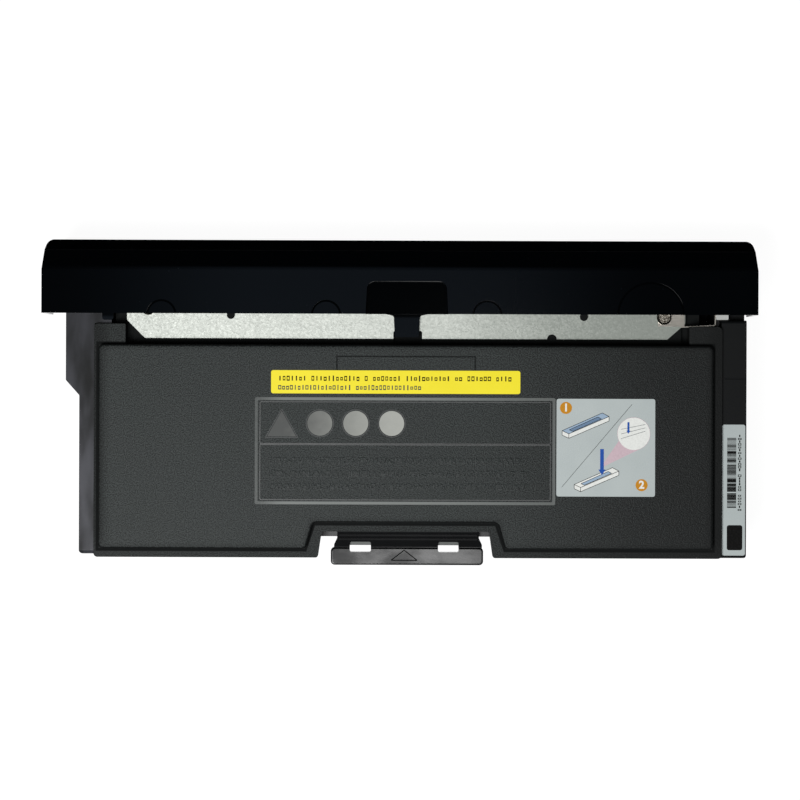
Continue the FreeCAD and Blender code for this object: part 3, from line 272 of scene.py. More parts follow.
# Painted sheen: the smudges are coloured lighter on the left frame and towards the rear, fading out to the
# right,
# so the right frame is painted dark as if in shade.
smudges_and_painted_sheen = rubbed * frame_x.ramp(-0.1, 0.14, 1.0, 0.0) * frame_y.ramp(-0.02, 0.03, 1.0, 0.6)
frame_plastic.wear(
    Base_Color=frame_plastic.blend(smudges_and_painted_sheen, ink(12, 14, 15), ink(62, 63, 69)),
    Roughness=0.46 - smudges_and_painted_sheen * 0.1,
    Normal=frame_plastic.relief(frame_grain * 0.1 - witness_line, 0.00012),
    Specular_IOR_Level=0.12,
)
dress(frame_plastic, "left_end_frame", "right_end_frame")
screw_nickel = Finish("screw_nickel")
tarnish = screw_nickel.noise(0.0012, 3.0)
screw_nickel.wear(
    Base_Color=screw_nickel.blend(tarnish.ramp(0.35, 0.7), ink(104, 98, 88), ink(196, 190, 178)),
    Roughness=tarnish * 0.2 + 0.14,
    Metallic=1.0,
    Normal=screw_nickel.relief(tarnish, 0.00002),
)
dress(screw_nickel, "frame_screws", "bracket_screws")

# Hopper lid: the large moulded plate welded onto the tub, with a raised panel of coarse spark-eroded grain.
# A polished frame with plain polished marks stands on the panel, and a shallow insert line shows before it.
FRAME_LEFT = -0.0648
FRAME_RIGHT = 0.0699
FRAME_REAR = -0.0459
FRAME_FRONT = 0.0021
FRAME_DIVIDER = -0.0186
INSERT_LEFT = -0.0283
INSERT_RIGHT = 0.0341
INSERT_FRONT = 0.0207
INSERT_LINE = 0.0004
TEXT_PITCH = 0.0058
PANEL_MIDDLE_X = 0.0028
PANEL_MIDDLE_Y = -0.0202
PANEL_HALF_LENGTH = 0.1381
PANEL_HALF_DEPTH = 0.0459
NOTCH_MIDDLE_X = 0.0027
NOTCH_FRONT = -0.0544
NOTCH_HALF_WIDTH = 0.04125
NOTCH_TAPER = 0.335
FLANGE_MIDDLE_X = 0.0038
lid_plastic = Finish("lid_plastic")
lid_x, lid_y, lid_z = lid_plastic.spot()
lid_grain = lid_plastic.noise(0.0005, 2.0)
lid_blots = lid_plastic.noise(0.0016, 2.0)
lid_cloud = lid_plastic.noise(0.045, 3.0)
insert_outer = (lid_x.between(INSERT_LEFT, INSERT_RIGHT, 0.0001)
                * lid_y.between(-0.01, INSERT_FRONT, 0.0001))
insert_inner = (lid_x.between(INSERT_LEFT + INSERT_LINE, INSERT_RIGHT - INSERT_LINE, 0.0001)
                * lid_y.between(-0.02, INSERT_FRONT - INSERT_LINE, 0.0001))
insert_line = (insert_outer - insert_inner) * (lid_y > 0.005)
text_field = (lid_x.between(FRAME_LEFT + 0.006, FRAME_RIGHT - 0.012, 0.001)
              * lid_y.between(FRAME_REAR + 0.004, FRAME_DIVIDER - 0.003, 0.0005))
text_rows = (lid_y * (1 / TEXT_PITCH)).fraction().between(0.25, 0.7, 0.06)
text_marks = lid_plastic.noise(0.0013, 1.0, (1.0, 0.35, 1.0)).ramp(0.46, 0.54)
worn_text = text_field * text_rows * text_marks
grain_height = lid_grain * 0.7 + lid_blots * 0.3 + worn_text * 0.35 - insert_line * 2.5
# Painted shade: the grain's tone is darkened towards the right end of the lid, where less light falls.
lid_tone_and_painted_falloff = lid_grain.ramp(0.38, 0.62) * 0.85 + lid_cloud * 0.25 - lid_x.ramp(0.03, 0.14) * 0.6
lid_low, lid_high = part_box("hopper_lid")
lid_top = lid_high.z
ridge_top = lid_z > lid_top - 0.00012
# Painted highlight: the frame's ridge is coloured pale, most from its left end to the middle, as a lamp's
# reflection.
ridge_painted_highlight = ridge_top * (lid_x.ramp(-0.066, -0.05) * lid_x.ramp(0.0, 0.07, 1.0, 0.45) * 0.6 + 0.3)
# Painted shade: darker colour on the panel's fillet wall, where the raised panel drops to the flange.
crease_painted_shade = lid_z.between(lid_top - 0.0032, lid_top - 0.00029, 0.00005)
# Painted shade: the low shelf between the bracket and the panel is darkened, as if in the gap's shadow.
shelf_painted_shade = lid_z.ramp(lid_top - 0.0040, lid_top - 0.0058) * (lid_y > 0.02)
# Painted shade: the flange beside each end of the panel is darkened, less so at its rear edge.
side_flange_painted_shade = abs(lid_x - FLANGE_MIDDLE_X).ramp(0.1325, 0.1395) * lid_y.ramp(lid_low.y, lid_low.y + 0.012)
# How far a point lies from the raised panel: below 0 on it, above 0 round it and in the handle's notch.
past_notch_front = lid_y - NOTCH_FRONT
past_notch_side = abs(lid_x - NOTCH_MIDDLE_X) + past_notch_front * NOTCH_TAPER - NOTCH_HALF_WIDTH
into_notch = 0 - past_notch_side.larger(past_notch_front)
past_panel_end = abs(lid_x - PANEL_MIDDLE_X) - PANEL_HALF_LENGTH
past_panel_side = abs(lid_y - PANEL_MIDDLE_Y) - PANEL_HALF_DEPTH
from_panel = past_panel_end.larger(past_panel_side).larger(into_notch)
# Painted shade: a dark band round the foot of the panel's wall, where shade gathers.
foot_painted_shade = from_panel.between(-0.0001, 0.0011, 0.0003) * (lid_top - 0.0003 - lid_z > 0.0)
edge_shade = from_panel.ramp(-0.0035, 0.0002)
# The painted shade of the lid's form, taken off the grain's colour below.
shade_of_form = ((1 - crease_painted_shade * 0.9) * (1 - shelf_painted_shade * 0.8) * (1 - side_flange_painted_shade * 0.2)
                 * (1 - foot_painted_shade * 0.85) * (1 - edge_shade * 0.16))
grain_with_painted_shade = lid_plastic.blend(
    lid_tone_and_painted_falloff * shade_of_form - insert_line * 0.5 - (1 - shade_of_form) * 0.9, ink(8, 11, 11), ink(54, 60, 59))
lid_plastic.wear(
    Base_Color=lid_plastic.blend(ridge_painted_highlight, grain_with_painted_shade, ink(118, 122, 120)),
    Roughness=lid_cloud * 0.08 + 0.44 - worn_text * 0.06 - ridge_top * 0.1 + (1 - shade_of_form) * 0.4,
    Normal=lid_plastic.relief(grain_height * (1 - ridge_top) + ridge_top * 0.5, 0.00022),
    Specular_IOR_Level=0.18,
)
dress(lid_plastic, "hopper_lid")


def shape_tree(name, inputs):
    """An empty Geometry Nodes tree with named inputs: its board, their readings and their identifiers."""
    tree = bpy.data.node_groups.new(name, "GeometryNodeTree")
    tree.interface.new_socket("Shape", in_out="OUTPUT", socket_type="NodeSocketGeometry")
    board = Board(tree)
    identifiers = {}
    for label, kind in inputs:
        made = tree.interface.new_socket(label, in_out="INPUT", socket_type="NodeSocket" + kind)
        identifiers[label] = made.identifier
    group = board.node("NodeGroupInput")
    return board, {label: group.out(label) for label, kind in inputs}, identifiers


def end_tree(board, shape, material):
    """Closes a tree: real geometry, with its material, into the group's output."""
    real = board.node("GeometryNodeRealizeInstances", None, {0: shape})
    coated = board.node("GeometryNodeSetMaterial", None, {"Geometry": real, "Material": material})
    ending = board.tree.nodes.new("NodeGroupOutput")
    board.feed(ending.inputs[0], coated)


def new_object(name, data):
    """An object with this data, in the scene."""
    made = bpy.data.objects.new(name, data)
    bpy.context.scene.collection.objects.link(made)
    return made


def grow(name, board, identifiers, values, middle):
    """A plain mesh made by the tree with these input values, moved so that its origin lies at middle."""
    holder = new_object(name, bpy.data.meshes.new(name))
    modifier = holder.modifiers.new("shape", "NODES")
    modifier.node_group = board.tree
    for label, value in values.items():
        modifier[identifiers[label]] = value
    depsgraph = bpy.context.evaluated_depsgraph_get()
    mesh = bpy.data.meshes.new_from_object(holder.evaluated_get(depsgraph))
    holder.modifiers.remove(modifier)
    holder.data = mesh
    mesh.transform(Matrix.Translation(middle))
    mesh.update()
    return holder


ridge_board, ridge_in, ridge_ids = shape_tree("ridge_round_a_field", [
    ("Length", "Float"), ("Depth", "Float"), ("Corner", "Float"),
    ("Ridge Width", "Float"), ("Ridge Height", "Float"), ("Finish", "Material")])
field_line = ridge_board.node(
    "GeometryNodeCurvePrimitiveQuadrilateral", {"mode": "RECTANGLE"},
    {"Width": ridge_in["Length"], "Height": ridge_in["Depth"]})
field_line = ridge_board.node(
    "GeometryNodeFilletCurve", {"mode": "POLY"},
    {"Curve": field_line, "Count": 4, "Radius": ridge_in["Corner"]})
ridge_profile = ridge_board.node(
    "GeometryNodeCurvePrimitiveQuadrilateral", {"mode": "RECTANGLE"},
    {"Width": ridge_in["Ridge Width"], "Height": 2 * ridge_in["Ridge Height"]})
ridge_profile = ridge_board.node(
    "GeometryNodeFilletCurve", {"mode": "POLY"},
    {"Curve": ridge_profile, "Count": 4, "Radius": 0.8 * ridge_in["Ridge Height"]})
ridge_shape = ridge_board.node(
    "GeometryNodeCurveToMesh", None, {"Curve": field_line, "Profile Curve": ridge_profile})
end_tree(ridge_board, ridge_shape, ridge_in["Finish"])

polished = Finish("polished_mould")
polish_waves = polished.noise(0.02, 2.0)
polish_scuffs = polished.noise(0.0016, 3.0).ramp(0.55, 0.75)
polished.wear(
    Base_Color=polished.blend(polish_waves, ink(56, 58, 58), ink(74, 76, 76)),
    Roughness=polish_scuffs * 0.1 + 0.4,
    Normal=polished.relief(polish_waves, 0.00003),
    Specular_IOR_Level=0.3,
)
panel_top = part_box("yellow_label")[0].z
RIDGE_WIDTH = 0.0005
RIDGE_HEIGHT = 0.00007
RIDGE_CORNER = 0.0006
RIDGE_LEFT = FRAME_LEFT + 0.0023
RIDGE_RIGHT = FRAME_RIGHT - 0.0022


def ridge(name, rear, front):
    """A fine raised line round one field of the frame, from its rear to its front."""
    middle = ((RIDGE_LEFT + RIDGE_RIGHT) / 2, (rear + front) / 2, panel_top)
    piece = grow(name, ridge_board, ridge_ids, {
        "Length": RIDGE_RIGHT - RIDGE_LEFT, "Depth": front - rear, "Corner": RIDGE_CORNER,
        "Ridge Width": RIDGE_WIDTH, "Ridge Height": RIDGE_HEIGHT, "Finish": polished.material}, middle)
    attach(piece, "housing")


ridge("panel_frame_line_front", FRAME_DIVIDER, FRAME_FRONT - 0.0020)
ridge("panel_frame_line_rear", FRAME_REAR + 0.0021, FRAME_DIVIDER - RIDGE_WIDTH)


def prism(mesh, outline, floor, top):
    """Adds a flat shape with an outline of (x, y) points, anticlockwise, from floor up to top."""
    low = [mesh.verts.new((x, y, floor)) for x, y in outline]
    high = [mesh.verts.new((x, y, top)) for x, y in outline]
    mesh.faces.new(high)
    mesh.faces.new(list(reversed(low)))
    count = len(outline)
    for index in range(count):
        after = (index + 1) % count
        mesh.faces.new((low[index], low[after], high[after], high[index]))


def round_outline(x, y, radius, count=48):
    return [(x + radius * math.cos(2 * math.pi * k / count), y + radius * math.sin(2 * math.pi * k / count))
            for k in range(count)]


def flat_piece(name, shapes, floor, top, finish):
    """One piece of the housing, made of flat shapes that all lie between floor and top."""
    mesh = bmesh.new()
    for outline in shapes:
        prism(mesh, outline, floor, top)
    data = bpy.data.meshes.new(name)
    mesh.to_mesh(data)
    mesh.free()
    data.materials.append(finish.material)
    piece = new_object(name, data)
    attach(piece, "housing")


def ring_quads(x, y, inner, outer, count=48):
    """A flat ring as a chain of quads."""
    first = round_outline(x, y, inner, count)
    second = round_outline(x, y, outer, count)
    return [[first[k], second[k], second[(k + 1) % count], first[(k + 1) % count]] for k in range(count)]


def bar(start, end, width):
    """A straight bar from start to end."""
    line = Vector((end[0] - start[0], end[1] - start[1]))
    across = Vector((-line.y, line.x)).normalized() * width / 2
    return [(start[0] - across.x, start[1] - across.y), (end[0] - across.x, end[1] - across.y),
            (end[0] + across.x, end[1] + across.y), (start[0] + across.x, start[1] + across.y)]


def loop_bars(corners, width):
    """Bars that join the corners in a closed loop."""
    return [bar(corners[k], corners[(k + 1) % len(corners)], width) for k in range(len(corners))]


def triangle(middle, half_width, foot, tip):
    return [(middle - half_width, foot), (middle + half_width, foot), (middle, tip)]


MARK_Y = -0.00954
MARK_RADIUS = 0.0056
MARK_RING_RADIUS = 0.0060
MARK_LINE = 0.00025
MARK_SUNK = 0.0001
TRIANGLE_X = -0.0528
mark_shapes = []
mark_lines = []
for mark_x in (-0.0357, -0.0196, -0.0035):
    mark_shapes.append(round_outline(mark_x, MARK_Y, MARK_RADIUS))
    mark_lines += ring_quads(mark_x, MARK_Y, MARK_RING_RADIUS, MARK_RING_RADIUS + MARK_LINE)
mark_shapes.append(triangle(TRIANGLE_X, 0.0065, -0.0155, -0.0040))
mark_lines += loop_bars(triangle(TRIANGLE_X, 0.0073, -0.0160, -0.0031), MARK_LINE)
# Painted reflection: the polished marks are coloured pale, lighter towards the right, as glare of the
# overhead panel.
mark_polish = Finish("mark_polish")
mark_x_spot = mark_polish.spot()[0]
mark_haze = mark_polish.noise(0.004, 2.0)
mark_polish.wear(
    Base_Color=mark_polish.blend(mark_x_spot.ramp(-0.058, 0.003) + mark_haze * 0.2 - 0.12,
                                 ink(74, 76, 75), ink(168, 170, 164)),
    Roughness=mark_haze * 0.1 + 0.45,
    Specular_IOR_Level=0.2,
)
flat_piece("panel_marks", mark_shapes, panel_top - MARK_SUNK, panel_top + 0.00012, mark_polish)
flat_piece("panel_mark_lines", mark_lines, panel_top - MARK_SUNK, panel_top + 0.00008, polished)

# Blade bracket: zinc coated sheet steel folded along its front, which holds the metering blade.
# The blade is a springy stainless strip with a moulded rubber bead, and two screws clamp the bracket.
# The contact strip at its right end is punched from bright spring steel too.
zinc = Finish("zinc_sheet")
spangle = zinc.cells(0.0007)
spangle_split = zinc.node("ShaderNodeSeparateXYZ", None, {0: spangle})
flake = spangle_split.out("X")
second_flake = spangle_split.out("Y")
zinc_dust = zinc.noise(0.0005, 3.0)
zinc_cloud = zinc.noise(0.03, 3.0)
scratch = zinc.noise(0.0016, 3.0, (0.25, 1.6, 1.0)).ramp(0.66, 0.74)
# Painted shade: the zinc's colour is darkened towards the right end, where less light falls.
zinc_painted_falloff = zinc.spot()[0].ramp(-0.03, 0.15) * 0.6
zinc_tone_and_painted_falloff = flake * 0.2 + zinc_dust * 0.35 + zinc_cloud * 0.25 + 0.08 - zinc_painted_falloff
zinc.wear(
    Base_Color=zinc.blend(zinc_tone_and_painted_falloff, ink(140, 145, 139), ink(216, 219, 213)),
    Roughness=second_flake * 0.1 + 0.5 - scratch * 0.1,
    Metallic=0.9,
    Normal=zinc.relief(flake * 0.5 + zinc_dust * 0.5, 0.00003),
)
dress(zinc, "blade_bracket")
spring_steel = Finish("spring_steel")
rolling_lay = spring_steel.noise(0.0008, 2.0, (0.1, 1.0, 1.0))
spring_steel.wear(
    Base_Color=spring_steel.blend(rolling_lay, ink(150, 146, 138), ink(188, 184, 176)),
    Roughness=rolling_lay * 0.12 + 0.24,
    Metallic=1.0,
    Normal=spring_steel.relief(rolling_lay, 0.00001),
)
dress(spring_steel, "blade_spring_sheet", "contact_strip")
bead_rubber = moulded("bead_rubber", ink(120, 96, 74), ink(140, 114, 90), roughness=0.5, specular=0.4)
dress(bead_rubber, "blade_rubber_bead")

# Grip handle: a glossy black moulding slid into the rear of the tub, pulled to lift the cartridge out.
# A triangle is moulded in its grip, polishing left fine streaks, and a low ledge closes each slot's front.
GRIP_FRONT = -0.0655
RIB_LOW = 0.0437
RIB_TOP = 0.0445
gloss_black = Finish("gloss_black")
streaks = gloss_black.noise(0.004, 3.0, (0.06, 1.0, 1.0))
orange_peel = gloss_black.noise(0.012, 2.0)
grip_clouds = gloss_black.noise(0.016, 3.0, (1.0, 1.5, 1.0)).ramp(0.35, 0.68)
handle_y, handle_z = gloss_black.spot()[1:]
grip_shine = handle_y.ramp(GRIP_FRONT, GRIP_FRONT - 0.0008)
rib_shine = handle_z.between(RIB_LOW, RIB_TOP, 0.0001) * (1 - grip_shine)
gloss_black.wear(
    Base_Color=gloss_black.blend(orange_peel, ink(7, 8, 9), ink(12, 13, 15)),
    Roughness=streaks * 0.1 + 0.3,
    Coat_Weight=grip_shine * (grip_clouds * 0.7 + 0.45 + streaks * 0.2) + rib_shine * 0.06 + 0.01,
    Coat_Roughness=0.16,
    Coat_IOR=1.42,
    Normal=gloss_black.relief(streaks * 0.3 + orange_peel, 0.00004),
    Specular_IOR_Level=0.01,
)
dress(gloss_black, "grip_handle")
handle_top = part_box("grip_handle")[1].z
grip_triangle = triangle(0.0023, 0.0059, -0.0717, -0.0671)
shadow_line = Finish("shadow_line")
line_depth = shadow_line.noise(0.0006)
shadow_line.wear(
    Base_Color=shadow_line.blend(line_depth, ink(8, 9, 9), ink(22, 23, 24)),
    Roughness=line_depth * 0.1 + 0.7,
    Specular_IOR_Level=0.05,
)
flat_piece("grip_triangle", loop_bars(grip_triangle, 0.00045), handle_top - MARK_SUNK,
           handle_top + 0.00005, shadow_line)
# Painted reflection: the ledges are coloured pale grey, as the lit walls of the black slots.
slot_wall_gloss = Finish("slot_wall_gloss")
slot_wall_waves = slot_wall_gloss.noise(0.003, 2.0)
slot_wall_gloss.wear(
    Base_Color=slot_wall_gloss.blend(slot_wall_waves, ink(74, 77, 76), ink(98, 101, 99)),
    Roughness=slot_wall_waves * 0.1 + 0.3,
    Specular_IOR_Level=0.2,
)
LEDGE_REAR = -0.0650
LEDGE_FRONT = -0.0633
LEDGE_DROP = 0.0024
LEDGE_THICKNESS = 0.0010
slot_ledges = [[(left, LEDGE_REAR), (right, LEDGE_REAR), (right, LEDGE_FRONT), (left, LEDGE_FRONT)]
               for left, right in ((-0.0225, -0.0127), (0.0176, 0.0271))]
ledge_top = handle_top - LEDGE_DROP
flat_piece("slot_ledges", slot_ledges, ledge_top - LEDGE_THICKNESS, ledge_top, slot_wall_gloss)

# Labels: three self-adhesive labels, printed on coated paper or film and cut with round corners.
# Their print is plain: rows of small strokes, numbered discs, simple blocks with arrows, and bars.


def label_stock(name, dark, light):
    """Coated label stock: nearly flat, with a soft waviness from the panel beneath."""
    finish = Finish(name)
    waves = finish.noise(0.015, 2.0)
    tooth = finish.noise(0.0009, 2.0)
    finish.wear(
        Base_Color=finish.blend(waves, dark, light),
        Roughness=tooth * 0.1 + 0.3,
        Normal=finish.relief(tooth * 0.1 + waves, 0.00008),
        Specular_IOR_Level=0.2,
    )
    return finish


yellow_stock = label_stock("yellow_stock", ink(240, 223, 22), ink(249, 233, 40))
dress(yellow_stock, "yellow_label")
white_stock = label_stock("white_stock", ink(172, 181, 181), ink(186, 194, 193))
dress(white_stock, "steps_label", "serial_label")


def print_ink(name, colour, roughness=0.4):
    finish = Finish(name)
    density = finish.noise(0.0008, 2.0)
    thin = tuple(0.92 * part + 0.004 for part in colour[:3]) + (1.0,)
    finish.wear(
        Base_Color=finish.blend(density.ramp(0.4, 0.7), colour, thin),
        Roughness=density * 0.1 + roughness,
        Specular_IOR_Level=0.06,
    )
    return finish


black_ink = print_ink("black_ink", ink(10, 10, 9))
grey_ink = print_ink("grey_ink", ink(70, 78, 84))
orange_ink = print_ink("orange_ink", ink(198, 136, 36))
white_ink = print_ink("white_ink", ink(232, 234, 230))
blue_ink = print_ink("blue_ink", ink(38, 84, 168))
pale_blue_ink = print_ink("pale_blue_ink", ink(156, 178, 200))
mid_blue_ink = print_ink("mid_blue_ink", ink(110, 134, 162))
pink_ink = print_ink("pink_ink", ink(204, 182, 190))

rows_board, rows_in, rows_ids = shape_tree("printed_rows", [
    ("Columns", "Int"), ("Rows", "Int"), ("Pitch Across", "Float"), ("Pitch Along", "Float"),
    ("Smallest Mark", "Vector"), ("Largest Mark", "Vector"), ("Share Printed", "Float"),
    ("Letter Shapes", "Bool"), ("Seed", "Int"), ("Ink", "Material")])
rows_points = rows_board.node("GeometryNodeMeshGrid", None, {
    "Size X": (rows_in["Columns"] - 1) * rows_in["Pitch Across"],
    "Size Y": (rows_in["Rows"] - 1) * rows_in["Pitch Along"],
    "Vertices X": rows_in["Columns"], "Vertices Y": rows_in["Rows"]}, "Mesh")
rows_size = rows_board.node("FunctionNodeRandomValue", {"data_type": "FLOAT_VECTOR"}, {
    0: rows_in["Smallest Mark"], 1: rows_in["Largest Mark"], "Seed": rows_in["Seed"]})
rows_chance = rows_board.node("FunctionNodeRandomValue", {"data_type": "FLOAT"}, {
    "Seed": rows_in["Seed"] + 7}, 1)
solid_mark = rows_board.node("GeometryNodeMeshCube", None, {"Size": (1.0, 1.0, 1.0)}, "Mesh")
stem_mark = rows_board.node("GeometryNodeMeshCube", None, {"Size": (0.4, 1.0, 1.0)}, "Mesh")
ring_line = rows_board.node(
    "GeometryNodeCurvePrimitiveQuadrilateral", {"mode": "RECTANGLE"}, {"Width": 0.72, "Height": 0.72})
low_line = rows_board.node("GeometryNodeTransform", None, {
    0: ring_line, "Translation": (0.0, -0.08, 0.0), "Scale": (1.0, 0.72, 1.0)})
stroke = rows_board.node(
    "GeometryNodeCurvePrimitiveQuadrilateral", {"mode": "RECTANGLE"}, {"Width": 0.32, "Height": 1.0})
letter_marks = rows_board.tree.nodes.new("GeometryNodeJoinGeometry")
for line in (ring_line, low_line):
    ring_mark = rows_board.node("GeometryNodeCurveToMesh", None, {"Curve": line, "Profile Curve": stroke})
    wrapped = rows_board.node("GeometryNodeGeometryToInstance", None, {0: ring_mark})
    rows_board.feed(letter_marks.inputs[0], wrapped)
wrapped_stem = rows_board.node("GeometryNodeGeometryToInstance", None, {0: stem_mark})
rows_board.feed(letter_marks.inputs[0], wrapped_stem)
rows_mark = rows_board.node("GeometryNodeSwitch", {"input_type": "GEOMETRY"}, {
    "Switch": rows_in["Letter Shapes"], "False": solid_mark,
    "True": Reading(rows_board, letter_marks.outputs[0])})
rows_kind = rows_board.node("FunctionNodeRandomValue", {"data_type": "INT"}, {
    4: 0, 5: 2, "Seed": rows_in["Seed"] + 3}, 2)
rows_marks = rows_board.node("GeometryNodeInstanceOnPoints", None, {
    "Points": rows_points, "Instance": rows_mark, "Scale": rows_size,
    "Pick Instance": rows_in["Letter Shapes"], "Instance Index": rows_kind,
    "Selection": rows_in["Share Printed"] - rows_chance > 0.0})
end_tree(rows_board, rows_marks, rows_in["Ink"])


MARK_THICKNESS = 0.00004


def printed_rows(name, middle, columns, rows, pitch, smallest, largest, share, letters, seed, finish):
    """Rows of small printed marks centred on middle."""
    piece = grow(name, rows_board, rows_ids, {
        "Columns": columns, "Rows": rows, "Pitch Across": pitch[0], "Pitch Along": pitch[1],
        "Smallest Mark": (*smallest, MARK_THICKNESS), "Largest Mark": (*largest, MARK_THICKNESS),
        "Share Printed": share, "Letter Shapes": letters, "Seed": seed, "Ink": finish.material}, middle)
    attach(piece, "housing")


yellow_low, yellow_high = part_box("yellow_label")
printed_rows(
    "yellow_print_first", (yellow_low.x + 0.0555, yellow_low.y + 0.0068, yellow_high.z),
    columns=57, rows=1, pitch=(0.00184, 0), smallest=(0.00115, 0.0019), largest=(0.00155, 0.0026),
    share=0.88, letters=True, seed=3, finish=black_ink)
printed_rows(
    "yellow_print_second", (yellow_low.x + 0.0352, yellow_low.y + 0.0027, yellow_high.z),
    columns=37, rows=1, pitch=(0.00174, 0), smallest=(0.00110, 0.0018), largest=(0.00150, 0.0024),
    share=0.88, letters=True, seed=12, finish=grey_ink)


def figure(name, digit, size, middle, finish):
    """A plain printed figure, as a flat mesh centred on middle."""
    curve = bpy.data.curves.new(name, "FONT")
    curve.body = digit
    curve.size = size
    curve.align_x = "CENTER"
    curve.align_y = "CENTER"
    curve.offset = size * 0.035
    holder = new_object(name, curve)
    depsgraph = bpy.context.evaluated_depsgraph_get()
    mesh = bpy.data.meshes.new_from_object(holder.evaluated_get(depsgraph))
    bpy.data.objects.remove(holder)
    mesh.transform(Matrix.Translation(middle))
    mesh.materials.clear()
    mesh.materials.append(finish.material)
    piece = new_object(name, mesh)
    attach(piece, "housing")


steps_low, steps_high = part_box("steps_label")
INK_RISE = 0.00003
INK_SUNK = 0.00002
OUTLINE_WIDTH = 0.22
THIN_LINE = 0.16
DISC_RADIUS = 2.7
FIGURE_SIZE = 0.0048


def on_steps(points):
    """Points in millimetres from the label's lower left corner, in the frame of the object."""
    return [(steps_low.x + x / 1000, steps_low.y + y / 1000) for x, y in points]


def steps_print(name, shapes, finish, layer=1):
    """One colour of the drawing, with each layer a little above the one below."""
    placed = [on_steps(shape) for shape in shapes]
    flat_piece(name, placed, steps_high.z - INK_SUNK, steps_high.z + INK_RISE * layer, finish)


def block_views(x, y, scale):
    """Top, front and end faces of a plain slab drawn at an angle, and the inset in its top."""
    def at(u, v):
        return (x + u * scale, y + v * scale)
    top = [at(0, 4), at(3, 2.6), at(21, 10.4), at(18, 12)]
    front = [at(3, 0.6), at(21, 8.4), at(21, 10.4), at(3, 2.6)]
    end = [at(0, 4), at(0, 2), at(3, 0.6), at(3, 2.6)]
    inset = [at(3.2, 4.4), at(4.8, 3.7), at(17.6, 9.3), at(16, 10.2)]
    return top, front, end, inset


first_block = block_views(2.5, 25.5, 1.0)
second_block = block_views(8.0, 1.6, 0.95)
first_top, first_front, first_end, first_inset = first_block
second_top, second_front, second_end, second_inset = second_block
steps_print("steps_tops", [first_top], pale_blue_ink)
steps_print("steps_sides", [first_front, first_end, second_top, second_front, second_end], white_ink)
steps_print("steps_first_inset", [first_inset], mid_blue_ink, 2)
steps_print("steps_second_inset", [second_inset], pale_blue_ink, 2)
steps_outlines = []
for face in first_block + second_block:
    steps_outlines += loop_bars(face, OUTLINE_WIDTH)
steps_outlines.append(bar((2.4, 4.2), (33.8, 41.4), THIN_LINE))
steps_print("steps_lines", steps_outlines, black_ink, 3)
lens_x = 34.6
lens_y = 28.2
lens_radius = 7.4
cone = [(19.4, 12.6), (37.0, 21.2), (27.9, 25.0)]
steps_print("steps_cone", [cone], pink_ink)
steps_print("steps_lens", [round_outline(lens_x, lens_y, lens_radius)], white_ink, 2)
steps_print("steps_lens_ring", ring_quads(lens_x, lens_y, lens_radius - 0.14, lens_radius), pink_ink, 3)
lens_bars = [bar((28.9, 26.0 + 2.1 * k), (39.8, 29.4 + 1.5 * k), THIN_LINE) for k in range(3)]
steps_print("steps_lens_lines", lens_bars, grey_ink, 4)


def down_arrow(x, top, length, width):
    """An arrow that points straight down."""
    head = 1.5 * width
    neck = top - length + head
    return [(x - width / 2, top), (x - width / 2, neck), (x - width, neck), (x, top - length),
            (x + width, neck), (x + width / 2, neck), (x + width / 2, top)]


long_arrow = down_arrow(x=20.4, top=21.3, length=11.6, width=1.6)
short_arrow = down_arrow(x=32.2, top=33.4, length=5.2, width=0.9)
steps_print("steps_arrows", [long_arrow, short_arrow], blue_ink, 5)
number_spots = (("1", 4.2, 39.7), ("2", 38.2, 5.2))
number_discs = [round_outline(x, y, DISC_RADIUS) for digit, x, y in number_spots]
steps_print("steps_discs", number_discs, orange_ink)
for digit, x, y in number_spots:
    middle = (*on_steps([(x, y)])[0], steps_high.z + INK_RISE * 2)
    figure("steps_figure_" + digit, digit, FIGURE_SIZE, middle, white_ink)

serial_low, serial_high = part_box("serial_label")
serial_middle = serial_low.y + 0.0373
printed_rows(
    "serial_bars", (serial_low.x + 0.0043, serial_middle, serial_high.z),
    columns=1, rows=52, pitch=(0, 0.00061), smallest=(0.0041, 0.00012), largest=(0.0041, 0.00068),
    share=0.95, letters=False, seed=5, finish=black_ink)
printed_rows(
    "serial_strokes", (serial_low.x + 0.0079, serial_middle, serial_high.z),
    columns=1, rows=27, pitch=(0, 0.00128), smallest=(0.0014, 0.0009), largest=(0.0018, 0.0012),
    share=0.92, letters=True, seed=9, finish=black_ink)


def rounded_box(left, right, rear, front, radius, count=6):
    """A rectangle whose corners are arcs of count straight lines."""
    points = []
    corners = ((right - radius, rear + radius, -90), (right - radius, front - radius, 0),
               (left + radius, front - radius, 90), (left + radius, rear + radius, 180))
    for x, y, start in corners:
        for k in range(count + 1):
            angle = math.radians(start + 90 * k / count)
            points.append((x + radius * math.cos(angle), y + radius * math.sin(angle)))
    return points


plate = rounded_box(serial_low.x + 0.0022, serial_low.x + 0.0092, serial_low.y + 0.0024,
                    serial_low.y + 0.0137, 0.001)
flat_piece("serial_plate", [plate], serial_high.z - INK_SUNK, serial_high.z + INK_RISE, black_ink)

# Protective cover: a thin glossy black moulding that clips over the developer roller for transport.
# It lifts off by the thumb recess and tongue. Its mould polish is high, with only faint waviness.
COVER_TONGUE_REAR = 0.0375
COVER_TONGUE_FRONT = 0.0390
COVER_MARKS_FRONT = 0.056
cover_gloss = Finish("cover_gloss")
cover_waves = cover_gloss.noise(0.06, 2.0, (0.4, 1.0, 1.0))
cover_dust = cover_gloss.noise(0.0011, 1.0).ramp(0.77, 0.82)
cover_x, cover_y, cover_z = cover_gloss.spot()
cover_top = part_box("protective_cover")[1].z
flat_top = cover_z.ramp(cover_top - 0.0012, cover_top - 0.0002)
# Painted sheen: the flat top is coloured bluish grey, most from left of its middle, as a reflection.
cover_painted_sheen_spread = cover_x.ramp(-0.16, -0.06) * cover_x.ramp(0.02, 0.12, 1.0, 0.0)
before_marks_end = COVER_MARKS_FRONT - cover_y > 0.0
